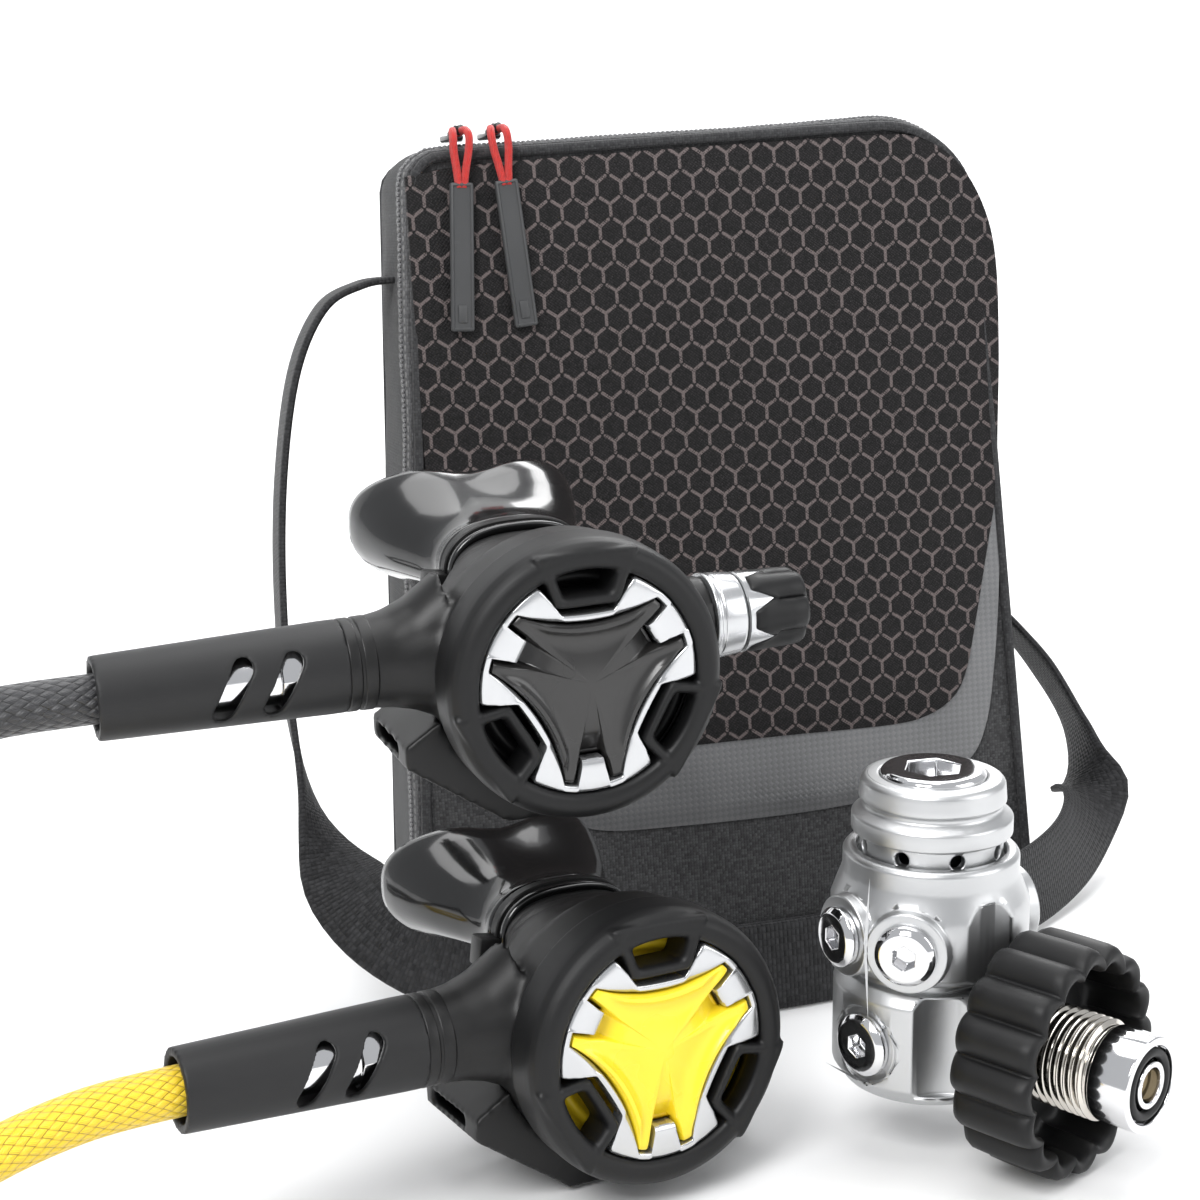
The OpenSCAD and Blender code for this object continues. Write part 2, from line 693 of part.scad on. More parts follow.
module stage_mouthpiece() {
  difference() {
    union() {
      translate([0, neck_y, -neck_end - 0.5]) linear_extrude(9) stadium(neck_half_w + mouth_wall, neck_half_h + mouth_wall);
      translate([0, neck_y, -neck_end]) rotate([180 + mouth_tilt, 0, 0]) translate([0, 0, -1])
        linear_extrude(-mouth_z - neck_end - 2) stadium(neck_half_w + 1, neck_half_h + 1);
      // Lip flange, a plate curved round the mouth
      intersection() {
        translate([0, mouth_y - 1, mouth_z - 20]) linear_extrude(40) stadium(mouth_half_w, 15);
        translate([0, mouth_y, mouth_z - lip_curve_r]) rotate([90, 0, 0]) difference() {
          cylinder(r = lip_curve_r + lip_t, h = 40, center = true, $fn = 96);
          cylinder(r = lip_curve_r, h = 42, center = true, $fn = 96);
          translate([-80, -160, -30]) cube([160, 160, 60]);
        }
      }
      for (s = [-1, 1]) translate([s * 17 - 5, mouth_y - 5, mouth_z - 15]) cube([10, 3, 16]);
      for (s = [-1, 1]) translate([s * 17 - 5, mouth_y - 7, mouth_z - 15]) cube([10, 8, 3]);
    }
    translate([0, neck_y, -neck_end - 0.4]) linear_extrude(10) stadium(neck_half_w + 0.05, neck_half_h + 0.05);
    translate([0, neck_y, -neck_end]) rotate([180 + mouth_tilt, 0, 0]) translate([0, 0, -2])
      linear_extrude(50) stadium(neck_half_w - 2, neck_half_h - 2);
  }
}

module stage_mouth_tie() {
  grip_w = neck_half_w + mouth_wall + 0.05;
  grip_h = neck_half_h + mouth_wall + 0.05;
  translate([0, neck_y, -neck_end + 1]) linear_extrude(tie_w - 1.4) difference() {
    stadium(grip_w + 1.2, grip_h + 1.2);
    stadium(grip_w, grip_h);
  }
  translate([-grip_w - 5.2, neck_y - 3.5, -neck_end + 0.4]) cube([5, 7, tie_w]);
}

module stage_swivel_nut() {
  on_valve_axis() difference() {
    union() {
      along_x(-nut_end) cylinder(r = 8, h = nut_end - nut_start, $fn = 6);
      along_x(-ferrule_end) cylinder(r = 6.6, h = ferrule_end - nut_end);
    }
    along_x(-nut_end - 1.4) cylinder(r = stub_r + run_gap, h = nut_end);
    along_x(-ferrule_end - 1) cylinder(r = 3, h = nut_end);
  }
}

module stage_sleeve() {
  on_valve_axis() difference() {
    union() {
      along_x(-sleeve_start - 4) cylinder(r = sleeve_r, h = 4);
      along_x(-sleeve_end) cylinder(r1 = sleeve_tip_r, r2 = sleeve_r, h = sleeve_end - sleeve_start - 4);
    }
    along_x(-ferrule_end - 6) cylinder(r = 8.4, h = ferrule_end);
    along_x(-sleeve_end - 1) cylinder(r = 7.2, h = sleeve_end);
    // Two slanting slots, cut right through
    for (x = [-nut_start - 14, -nut_start - 25]) translate([x, 0, 0]) rotate([0, 0, 62])
      linear_extrude(40, center = true) stadium(7.4, 2.2);
  }
}

knob_start = collar_end + 1;
knob_lobes = 8;

module stage_knob() {
  on_valve_axis() {
    along_x(knob_start) difference() {
      union() {
        cylinder(r = knob_r - 1.2, h = knob_len);
        for (i = [0:knob_lobes - 1]) rotate([0, 0, i * 360 / knob_lobes])
          translate([knob_r - 2.6, 0, 0]) cylinder(r = 2.6, h = knob_len, $fn = 24);
      }
      translate([0, 0, knob_len - 2]) cylinder(r = 4, h = 3);
    }
    along_x(tube_end + 1) cylinder(r = tube_in_r - run_gap, h = knob_start - tube_end);
  }
}

// Coil of spare hose, as the flat ring that its turns fill: r is the outermost turn's radius
module coil_ring(at, r, wide) {
  translate([at[0], at[1], free_gap]) rotate_extrude($fn = 96) hull() {
    for (turn = [0:wide - 1]) translate([r - turn * 2 * hose_r, hose_r]) circle(r = hose_r + 0.2, $fn = 24);
  }
}

// Male fitting that screws into a low-pressure port: ferrule, hex and thread, from its crimp on
module hose_fitting() {
  cylinder(r = 6.6, h = 16);
  translate([0, 0, 16]) cylinder(d = hex_af / cos(30), h = 6, $fn = 6);
  translate([0, 0, 22]) cylinder(r = 3.9, h = 2);
  translate([0, 0, 24]) cylinder(r = lp_r - 0.06, h = 8);
}

// Where each hose ends, lying over its coil: the angle round the ring and the radius there
primary_end_angle = 62;
primary_end_r = 55;
octopus_end_angle = -62;
octopus_end_r = 56;
hex_af = 14;
end_z = free_gap + 2 * hose_r + 0.4 + hex_af / cos(30) / 2;

// Lays a thing that stands along +Z down on top of a coil, starting at an angle and running
// anticlockwise, way 1, or clockwise, way -1
module on_coil(at, r, angle, way) {
  translate([at[0], at[1], end_z]) rotate([0, 0, angle])
    translate([r, 0, 0]) rotate([-90 * way, 0, 0]) children();
}

// ---- Nodes of the main second stage ----

module primary_case() { color("#1f1f20") on_primary() stage_case(boss_end); }
module primary_cover() { color("#262627") on_primary() stage_cover(); }
module primary_trim() { color("#c9cbcf") on_primary() stage_trim(); }
module primary_button() { color("#2b2a2a") on_primary() stage_button(); }
module primary_diaphragm() { color("#232324") on_primary() stage_diaphragm(); }
module primary_lever() { color("#b4b6b8") on_primary() stage_lever(); }
module primary_valve_tube() { color("#c6c7c9") on_primary() stage_valve_tube(boss_end); }
module primary_poppet() { color("#8c8d90") on_primary() stage_poppet(); }
module primary_poppet_spring() { color("#9a9ca0") on_primary() stage_poppet_spring(); }
module primary_exhaust_valve() { color("#2e2e30") on_primary() stage_exhaust_valve(); }
module primary_exhaust_tee() { color("#1b1b1c") on_primary() stage_exhaust_tee(); }
module primary_mouthpiece() { color("#0e0e0f") on_primary() stage_mouthpiece(); }
module primary_mouth_tie() { color("#141415") on_primary() stage_mouth_tie(); }
module primary_swivel_nut() { color("#d0d0d0") on_primary() stage_swivel_nut(); }
module primary_sleeve() { color("#2f3031") on_primary() stage_sleeve(); }
module primary_knob() { color("#1e1e1f") on_primary() stage_knob(); }
module primary_hose() { color("#1b1b1c") on_set() tube_along(primary_route, hose_r); }
module primary_coil() { color("#1b1b1c") on_set() coil_ring(primary_coil_at, primary_coil_r, primary_coil_wide); }
module primary_hose_fitting() {
  color("#d0d0d0") on_set() on_coil(primary_coil_at, primary_end_r, primary_end_angle, 1) hose_fitting();
}

// ---- Nodes of the spare second stage ----

module octopus_case() { color("#1f1f20") on_octopus() stage_case(0); }
module octopus_cover() { color("#262627") on_octopus() stage_cover(); }
module octopus_trim() { color("#c9cbcf") on_octopus() stage_trim(); }
module octopus_button() { color("#f2d81c") on_octopus() stage_button(); }
module octopus_diaphragm() { color("#f0d010") on_octopus() stage_diaphragm(); }
module octopus_lever() { color("#b4b6b8") on_octopus() stage_lever(); }
module octopus_valve_tube() { color("#c6c7c9") on_octopus() stage_valve_tube(0); }
module octopus_poppet() { color("#8c8d90") on_octopus() stage_poppet(); }
module octopus_poppet_spring() { color("#9a9ca0") on_octopus() stage_poppet_spring(); }
module octopus_exhaust_valve() { color("#2e2e30") on_octopus() stage_exhaust_valve(); }
module octopus_exhaust_tee() { color("#1b1b1c") on_octopus() stage_exhaust_tee(); }
module octopus_mouthpiece() { color("#0e0e0f") on_octopus() stage_mouthpiece(); }
module octopus_mouth_tie() { color("#141415") on_octopus() stage_mouth_tie(); }
module octopus_swivel_nut() { color("#d0d0d0") on_octopus() stage_swivel_nut(); }
module octopus_sleeve() { color("#2f3031") on_octopus() stage_sleeve(); }
module octopus_hose() { color("#f2cf1a") on_set() tube_along(octopus_route, hose_r); }
module octopus_coil() { color("#f2cf1a") on_set() coil_ring(octopus_coil_at, octopus_coil_r, octopus_coil_wide); }
module octopus_hose_fitting() {
  color("#d0d0d0") on_set() on_coil(octopus_coil_at, octopus_end_r, octopus_end_angle, -1) hose_fitting();
}

bag_body();
bag_front();
bag_zip();
bag_strap();
zip_slider_left();
zip_pull_left();
zip_slider_right();
zip_pull_right();
fs_body();
fs_cap();
fs_adjuster();
fs_main_spring();
fs_diaphragm();
fs_poppet();
fs_poppet_spring();
fs_chamber_plug();
fs_port_plugs();
din_bolt();
din_filter();
din_o_ring();
din_thread();
din_handwheel();
primary_case();
primary_cover();
primary_trim();
primary_button();
primary_diaphragm();
primary_lever();
primary_valve_tube();
primary_poppet();
primary_poppet_spring();
primary_exhaust_valve();
primary_exhaust_tee();
primary_mouthpiece();
primary_mouth_tie();
primary_swivel_nut();
primary_sleeve();
primary_knob();
primary_hose();
primary_coil();
primary_hose_fitting();
octopus_case();
octopus_cover();
octopus_trim();
octopus_button();
octopus_diaphragm();
octopus_lever();
octopus_valve_tube();
octopus_poppet();
octopus_poppet_spring();
octopus_exhaust_valve();
octopus_exhaust_tee();
octopus_mouthpiece();
octopus_mouth_tie();
octopus_swivel_nut();
octopus_sleeve();
octopus_hose();
octopus_coil();
octopus_hose_fitting();
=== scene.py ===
# Looks of the scuba regulator set: two second stages on braided hoses, a first stage with a
# screw-in cylinder fitting, and the zipped bag behind them. Pieces are drawn in millimetres in
# the frame of the device they belong to, and placed() carries them to the set's frame in metres.
import math

import bmesh
import bpy
from mathutils import Euler, Matrix, Vector, noise


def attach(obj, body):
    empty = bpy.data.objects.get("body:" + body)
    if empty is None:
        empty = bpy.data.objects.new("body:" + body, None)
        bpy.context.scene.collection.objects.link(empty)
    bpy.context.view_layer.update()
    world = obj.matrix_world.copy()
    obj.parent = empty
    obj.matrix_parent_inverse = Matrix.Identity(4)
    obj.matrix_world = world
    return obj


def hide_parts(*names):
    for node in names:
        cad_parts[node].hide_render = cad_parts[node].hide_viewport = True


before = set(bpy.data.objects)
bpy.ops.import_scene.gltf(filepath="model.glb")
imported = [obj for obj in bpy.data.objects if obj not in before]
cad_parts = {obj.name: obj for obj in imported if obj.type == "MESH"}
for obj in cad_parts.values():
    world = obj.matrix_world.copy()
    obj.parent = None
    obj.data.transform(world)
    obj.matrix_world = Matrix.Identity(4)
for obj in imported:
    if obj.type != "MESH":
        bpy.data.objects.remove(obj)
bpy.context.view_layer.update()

MM = 0.001
ORIGIN = Vector((-20.7, -75.6, 0.0))


def rad(angle):
    return math.radians(angle)


def placed(at=(0, 0, 0), turn=(0, 0, 0)):
    turned = Euler([rad(a) for a in turn], "XYZ").to_matrix().to_4x4()
    return Matrix.Scale(MM, 4) @ Matrix.Translation(Vector(at) - ORIGIN) @ turned


COVER_R = 32.0
AXIS_Y, AXIS_Z = 4.0, -26.0
ON_SET = placed()
ON_PRIMARY = placed((-72, -173, 120), (96, 0, 8))
ON_OCTOPUS = placed((-63, -181, COVER_R + 5.3), (91, 2, 15))
ON_FIRST = placed((4, -162, 15.578), (0, 5, -57))
ALONG_X = Matrix.Rotation(rad(90), 4, "Y")
ON_AXIS = Matrix.Translation((0, AXIS_Y, AXIS_Z)) @ ALONG_X


# ---------------------------------------------------------------- node helpers

def wire(tree, value, socket):
    if isinstance(value, bpy.types.NodeSocket):
        tree.links.new(value, socket)
    else:
        socket.default_value = value


def put(tree, kind, values=(), named=None, out=0, **settings):
    """Adds a node, sets it, wires its inputs by order or by name, and gives one of its outputs."""
    node = tree.nodes.new("ShaderNode" + kind)
    for key, value in settings.items():
        setattr(node, key, value)
    for socket, value in zip(node.inputs, values):
        if value is not None:
            wire(tree, value, socket)
    for key, value in (named or {}).items():
        wire(tree, value, node.inputs[key])
    return node.outputs[out]


def calc(tree, operation, *values):
    return put(tree, "Math", values, operation=operation)


def vec(tree, operation, *values):
    names = {"LENGTH": 1, "DOT_PRODUCT": 1, "DISTANCE": 1}
    return put(tree, "VectorMath", values, operation=operation, out=names.get(operation, 0))


def split(tree, vector):
    node = tree.nodes.new("ShaderNodeSeparateXYZ")
    tree.links.new(vector, node.inputs[0])
    return node.outputs[0], node.outputs[1], node.outputs[2]


def step_up(tree, value, low, high):
    """0 below low, 1 above high, smooth between."""
    return put(tree, "MapRange", (value, low, high), interpolation_type="SMOOTHSTEP")


def noise_at(tree, vector, scale, detail=3.0, rough=0.55):
    return put(tree, "TexNoise", named={"Vector": vector, "Scale": scale, "Detail": detail, "Roughness": rough})


def tint(tree, factor, dark, light):
    """Colour between two colours."""
    node = tree.nodes.new("ShaderNodeMix")
    node.data_type = "RGBA"
    wire(tree, factor, node.inputs[0])
    for socket, value in ((node.inputs[6], dark), (node.inputs[7], light)):
        wire(tree, value if isinstance(value, bpy.types.NodeSocket) else (*value, 1.0), socket)
    return node.outputs[2]


def lerp(tree, factor, a, b):
    node = tree.nodes.new("ShaderNodeMix")
    for socket, value in zip((node.inputs[0], node.inputs[2], node.inputs[3]), (factor, a, b)):
        wire(tree, value, socket)
    return node.outputs[0]


def bump(tree, height, strength, distance):
    return put(tree, "Bump", named={"Height": height, "Strength": strength, "Distance": distance})


def make_group(name, ins, outs):
    """A shader node group: ins and outs are (name, kind, default) with kind FLOAT, VECTOR or COLOR."""
    kinds = {"FLOAT": "NodeSocketFloat", "VECTOR": "NodeSocketVector", "COLOR": "NodeSocketColor"}
    group = bpy.data.node_groups.new(name, "ShaderNodeTree")
    for key, kind, default in ins:
        socket = group.interface.new_socket(key, in_out="INPUT", socket_type=kinds[kind])
        if default is not None:
            socket.default_value = default
    for key, kind in outs:
        group.interface.new_socket(key, in_out="OUTPUT", socket_type=kinds[kind])
    source = group.nodes.new("NodeGroupInput")
    sink = group.nodes.new("NodeGroupOutput")
    return group, {s.name: s for s in source.outputs}, sink


def use(tree, group, **named):
    node = tree.nodes.new("ShaderNodeGroup")
    node.node_tree = group
    for key, value in named.items():
        wire(tree, value, node.inputs[key])
    return {s.name: s for s in node.outputs}


# ---------------------------------------------------------------- effects shared by materials

def grain_group():
    """Moulded grain: fine pits, broad unevenness of the gloss, and a dusting of pale scuffs."""
    group, src, sink = make_group(
        "Moulded grain",
        [("Vector", "VECTOR", None), ("Scale", "FLOAT", 1800.0), ("Depth", "FLOAT", 0.00003)],
        [("Normal", "VECTOR"), ("Patches", "FLOAT"), ("Scuffs", "FLOAT")])
    fine = noise_at(group, src["Vector"], src["Scale"], 2.0)
    patches = noise_at(group, src["Vector"], 38.0, 3.0)
    streak = put(group, "Mapping", named={"Vector": src["Vector"], "Scale": (160.0, 900.0, 900.0)})
    marks = step_up(group, noise_at(group, streak, 1.0, 2.0), 0.66, 0.74)
    spots = step_up(group, noise_at(group, src["Vector"], 55.0, 3.0), 0.55, 0.7)
    group.links.new(put(group, "Bump", named={"Height": fine, "Strength": 0.7, "Distance": src["Depth"]}),
                    sink.inputs["Normal"])
    group.links.new(patches, sink.inputs["Patches"])
    group.links.new(calc(group, "MULTIPLY", marks, spots), sink.inputs["Scuffs"])
    return group


def weave_group():
    """Plain weave over a flat pair of coordinates, in threads of the given pitch in metres."""
    group, src, sink = make_group(
        "Plain weave",
        [("Vector", "VECTOR", None), ("Pitch", "FLOAT", 0.0008), ("Rib", "FLOAT", 1.0)],
        [("Height", "FLOAT"), ("Heather", "FLOAT"), ("Thread", "FLOAT")])
    u, v, _ = split(group, src["Vector"])
    su = calc(group, "DIVIDE", u, src["Pitch"])
    sv = calc(group, "DIVIDE", v, calc(group, "MULTIPLY", src["Pitch"], src["Rib"]))
    over = calc(group, "MODULO", calc(group, "ADD", calc(group, "FLOOR", su), calc(group, "FLOOR", sv)), 2.0)
    over = calc(group, "ABSOLUTE", over)
    hu = calc(group, "SINE", calc(group, "MULTIPLY", calc(group, "FRACT", su), math.pi))
    hv = calc(group, "SINE", calc(group, "MULTIPLY", calc(group, "FRACT", sv), math.pi))
    warp = calc(group, "MULTIPLY", hu, calc(group, "MULTIPLY_ADD", hv, 0.5, 0.5))
    weft = calc(group, "MULTIPLY", hv, calc(group, "MULTIPLY_ADD", hu, 0.5, 0.5))
    height = lerp(group, over, warp, weft)
    cell = put(group, "CombineXYZ", (calc(group, "FLOOR", su), calc(group, "FLOOR", sv), 0.0))
    heather = put(group, "TexWhiteNoise", named={"Vector": cell})
    group.links.new(height, sink.inputs["Height"])
    group.links.new(heather, sink.inputs["Heather"])
    group.links.new(over, sink.inputs["Thread"])
    return group


def braid_group():
    """Braid of two opposed strand families round a hose: Vector is (metres along, turns round)."""
    group, src, sink = make_group(
        "Hose braid",
        [("Vector", "VECTOR", None), ("Strands", "FLOAT", 16.0), ("Lead", "FLOAT", 0.0036)],
        [("Height", "FLOAT"), ("Fibre", "FLOAT"), ("Gap", "FLOAT")])
    u, v, _ = split(group, src["Vector"])
    s = calc(group, "DIVIDE", u, src["Lead"])
    t = calc(group, "MULTIPLY", v, src["Strands"])
    a, b = calc(group, "ADD", t, s), calc(group, "SUBTRACT", t, s)
    both = calc(group, "ADD", calc(group, "FLOOR", a), calc(group, "FLOOR", b))
    over = calc(group, "ABSOLUTE", calc(group, "MODULO", both, 2.0))
    fa, fb = calc(group, "FRACT", a), calc(group, "FRACT", b)
    ha = calc(group, "SINE", calc(group, "MULTIPLY", fa, math.pi))
    hb = calc(group, "SINE", calc(group, "MULTIPLY", fb, math.pi))
    ra = calc(group, "POWER", ha, 0.6)
    rb = calc(group, "POWER", hb, 0.6)
    up = calc(group, "MULTIPLY", ra, calc(group, "MULTIPLY_ADD", rb, 0.45, 0.55))
    down = calc(group, "MULTIPLY", rb, calc(group, "MULTIPLY_ADD", ra, 0.45, 0.55))
    fibre = lerp(group, over, calc(group, "SINE", calc(group, "MULTIPLY", fa, 31.4)),
                 calc(group, "SINE", calc(group, "MULTIPLY", fb, 31.4)))
    height = lerp(group, over, up, down)
    group.links.new(calc(group, "MULTIPLY_ADD", fibre, 0.06, height), sink.inputs["Height"])
    group.links.new(fibre, sink.inputs["Fibre"])
    # Mask of 1 on the strand crowns and 0 in the hollows between strands; braid_cloth uses it to paint shade into the
    # hollows
    group.links.new(step_up(group, height, 0.12, 0.5), sink.inputs["Gap"])
    return group


GRAIN, WEAVE, BRAID = grain_group(), weave_group(), braid_group()


def material(name):
    made = bpy.data.materials.new(name)
    made.use_nodes = True
    tree = made.node_tree
    tree.nodes.clear()
    shader = tree.nodes.new("ShaderNodeBsdfPrincipled")
    sink = tree.nodes.new("ShaderNodeOutputMaterial")
    tree.links.new(shader.outputs[0], sink.inputs["Surface"])
    return made, tree, shader.inputs


def object_at(tree):
    return tree.nodes.new("ShaderNodeTexCoord").outputs["Object"]


def uv_at(tree):
    return tree.nodes.new("ShaderNodeTexCoord").outputs["UV"]


def moulded(name, dark, light, rough=(0.35, 0.5), metal=0.0, coat=0.0, coat_rough=0.1, grain=2200.0,
            depth=0.00003, scuff=0.12, specular=0.5):
    """Moulded, cast or plated finish: colour drifts between two tones and the gloss is uneven."""
    made, tree, ins = material(name)
    effect = use(tree, GRAIN, Vector=object_at(tree), Scale=grain, Depth=depth)
    base = tint(tree, effect["Patches"], dark, light)
    pale = tuple(min(1.0, c * 1.6 + 0.05) for c in light)
    scuffs = calc(tree, "MULTIPLY", effect["Scuffs"], scuff)
    wire(tree, tint(tree, scuffs, base, pale), ins["Base Color"])
    gloss = put(tree, "MapRange", (effect["Patches"], 0.3, 0.7, rough[0], rough[1]))
    wire(tree, calc(tree, "MULTIPLY_ADD", scuffs, 0.3, gloss), ins["Roughness"])
    wire(tree, effect["Normal"], ins["Normal"])
    ins["Metallic"].default_value = metal
    ins["Coat Weight"].default_value = coat
    ins["Coat Roughness"].default_value = coat_rough
    ins["Specular IOR Level"].default_value = specular
    return made


def pack_cloth(name, dark, light, pitch=0.0009, depth=0.00016, rib=1.0, rough=0.78, sheen=0.06):
    """Woven cloth with heathered threads and painted shade in the hollows of the weave, over the piece's own UV map in
    metres.
    """
    made, tree, ins = material(name)
    weave = use(tree, WEAVE, Vector=uv_at(tree), Pitch=pitch, Rib=rib)
    broad = noise_at(tree, object_at(tree), 24.0, 4.0)
    # Heathered thread tone (real), times a factor from weave height that darkens each thread where it dips: painted
    # shade
    heather_and_weave_shade = calc(tree, "MULTIPLY", weave["Heather"], calc(tree, "MULTIPLY_ADD", weave["Height"], 0.6, 0.4))
    tone = calc(tree, "MULTIPLY_ADD", broad, 0.5, calc(tree, "MULTIPLY", heather_and_weave_shade, 0.75))
    wire(tree, tint(tree, tone, dark, light), ins["Base Color"])
    wire(tree, calc(tree, "MULTIPLY_ADD", weave["Heather"], 0.12, rough - 0.06), ins["Roughness"])
    wire(tree, bump(tree, weave["Height"], 0.9, depth), ins["Normal"])
    ins["Sheen Weight"].default_value = sheen
    ins["Sheen Roughness"].default_value = 0.5
    ins["Specular IOR Level"].default_value = 0.2
    return made


def braid_cloth(name, dark, light, rough=0.5):
    made, tree, ins = material(name)
    braid = use(tree, BRAID, Vector=uv_at(tree))
    # Colour: fibre striations as real tone, plus painted shade darkening the hollows between strands
    tone = calc(tree, "MULTIPLY_ADD", braid["Fibre"], 0.15, calc(tree, "MULTIPLY", braid["Gap"], 0.85))
    wire(tree, tint(tree, tone, dark, light), ins["Base Color"])
    wire(tree, calc(tree, "MULTIPLY_ADD", braid["Gap"], -0.15, rough + 0.1), ins["Roughness"])
    wire(tree, bump(tree, braid["Height"], 1.0, 0.0005), ins["Normal"])
    ins["Sheen Weight"].default_value = 0.15
    return made


def lattice_cloth(name):
    """Black twill printed with rows of small brown-grey tripods."""
    made, tree, ins = material(name)
    place = uv_at(tree)
    pitch = 0.0072
    flat = vec(tree, "MULTIPLY", place, (1.0 / pitch, 1.0 / pitch, 0.0))
    cell = (1.0, math.sqrt(3.0), 1.0)

    def centred(shift):
        moved = vec(tree, "ADD", flat, shift)
        return vec(tree, "SUBTRACT", vec(tree, "MODULO", vec(tree, "ADD", moved, (100.0, 173.20508, 0.0)), cell),
                   (0.5, math.sqrt(3.0) / 2.0, 0.0))

    first, second = centred((0.0, 0.0, 0.0)), centred((0.5, math.sqrt(3.0) / 2.0, 0.0))
    nearer = calc(tree, "LESS_THAN", vec(tree, "LENGTH", first), vec(tree, "LENGTH", second))
    mix = tree.nodes.new("ShaderNodeMix")
    mix.data_type = "VECTOR"
    for socket, value in zip((mix.inputs[0], mix.inputs[4], mix.inputs[5]), (nearer, second, first)):
        wire(tree, value, socket)
    here = mix.outputs[1]
    closest = None
    for angle in (35, 145, 270):
        arm = (math.cos(rad(angle)), math.sin(rad(angle)), 0.0)
        along = calc(tree, "MINIMUM", calc(tree, "MAXIMUM", vec(tree, "DOT_PRODUCT", here, arm), 0.0), 0.46)
        foot = put(tree, "VectorMath", named={0: arm, "Scale": along}, operation="SCALE")
        away = vec(tree, "DISTANCE", here, foot)
        closest = away if closest is None else calc(tree, "MINIMUM", closest, away)
    ink = calc(tree, "SUBTRACT", 1.0, step_up(tree, closest, 0.045, 0.085))
    weave = use(tree, WEAVE, Vector=put(tree, "Mapping", named={"Vector": place, "Rotation": (0.0, 0.0, rad(38))}),
                Pitch=0.00085, Rib=0.8)
    broken = step_up(tree, calc(tree, "MULTIPLY_ADD", weave["Heather"], 0.7, calc(tree, "MULTIPLY", weave["Height"], 0.6)),
                     0.1, 0.6)
    # Thread colour is heather (real tone) times weave height, so the twill darkens into its hollows: painted shade
    cloth = tint(tree, calc(tree, "MULTIPLY", weave["Heather"], weave["Height"]), (0.0035, 0.0033, 0.0034),
                 (0.022, 0.020, 0.021))
    print_on = calc(tree, "MULTIPLY", ink, broken)
    wire(tree, tint(tree, print_on, cloth, (0.115, 0.094, 0.092)), ins["Base Color"])
    wire(tree, calc(tree, "MULTIPLY_ADD", weave["Heather"], 0.2, 0.55), ins["Roughness"])
    wire(tree, bump(tree, weave["Height"], 0.8, 0.00015), ins["Normal"])
    ins["Specular IOR Level"].default_value = 0.2
    return made


def film(name):
    """Reflective film with small embossed lozenges."""
    made, tree, ins = material(name)
    weave = use(tree, WEAVE, Vector=put(tree, "Mapping", named={"Vector": uv_at(tree), "Rotation": (0.0, 0.0, rad(45))}),
                Pitch=0.0013)
    broad = noise_at(tree, object_at(tree), 30.0, 3.0)
    wire(tree, tint(tree, calc(tree, "MULTIPLY_ADD", weave["Thread"], 0.25, broad), (0.075, 0.076, 0.078),
                    (0.17, 0.171, 0.174)), ins["Base Color"])
    wire(tree, calc(tree, "MULTIPLY_ADD", broad, 0.15, 0.27), ins["Roughness"])
    wire(tree, bump(tree, weave["Height"], 0.5, 0.00009), ins["Normal"])
    ins["Metallic"].default_value = 0.45
    return made


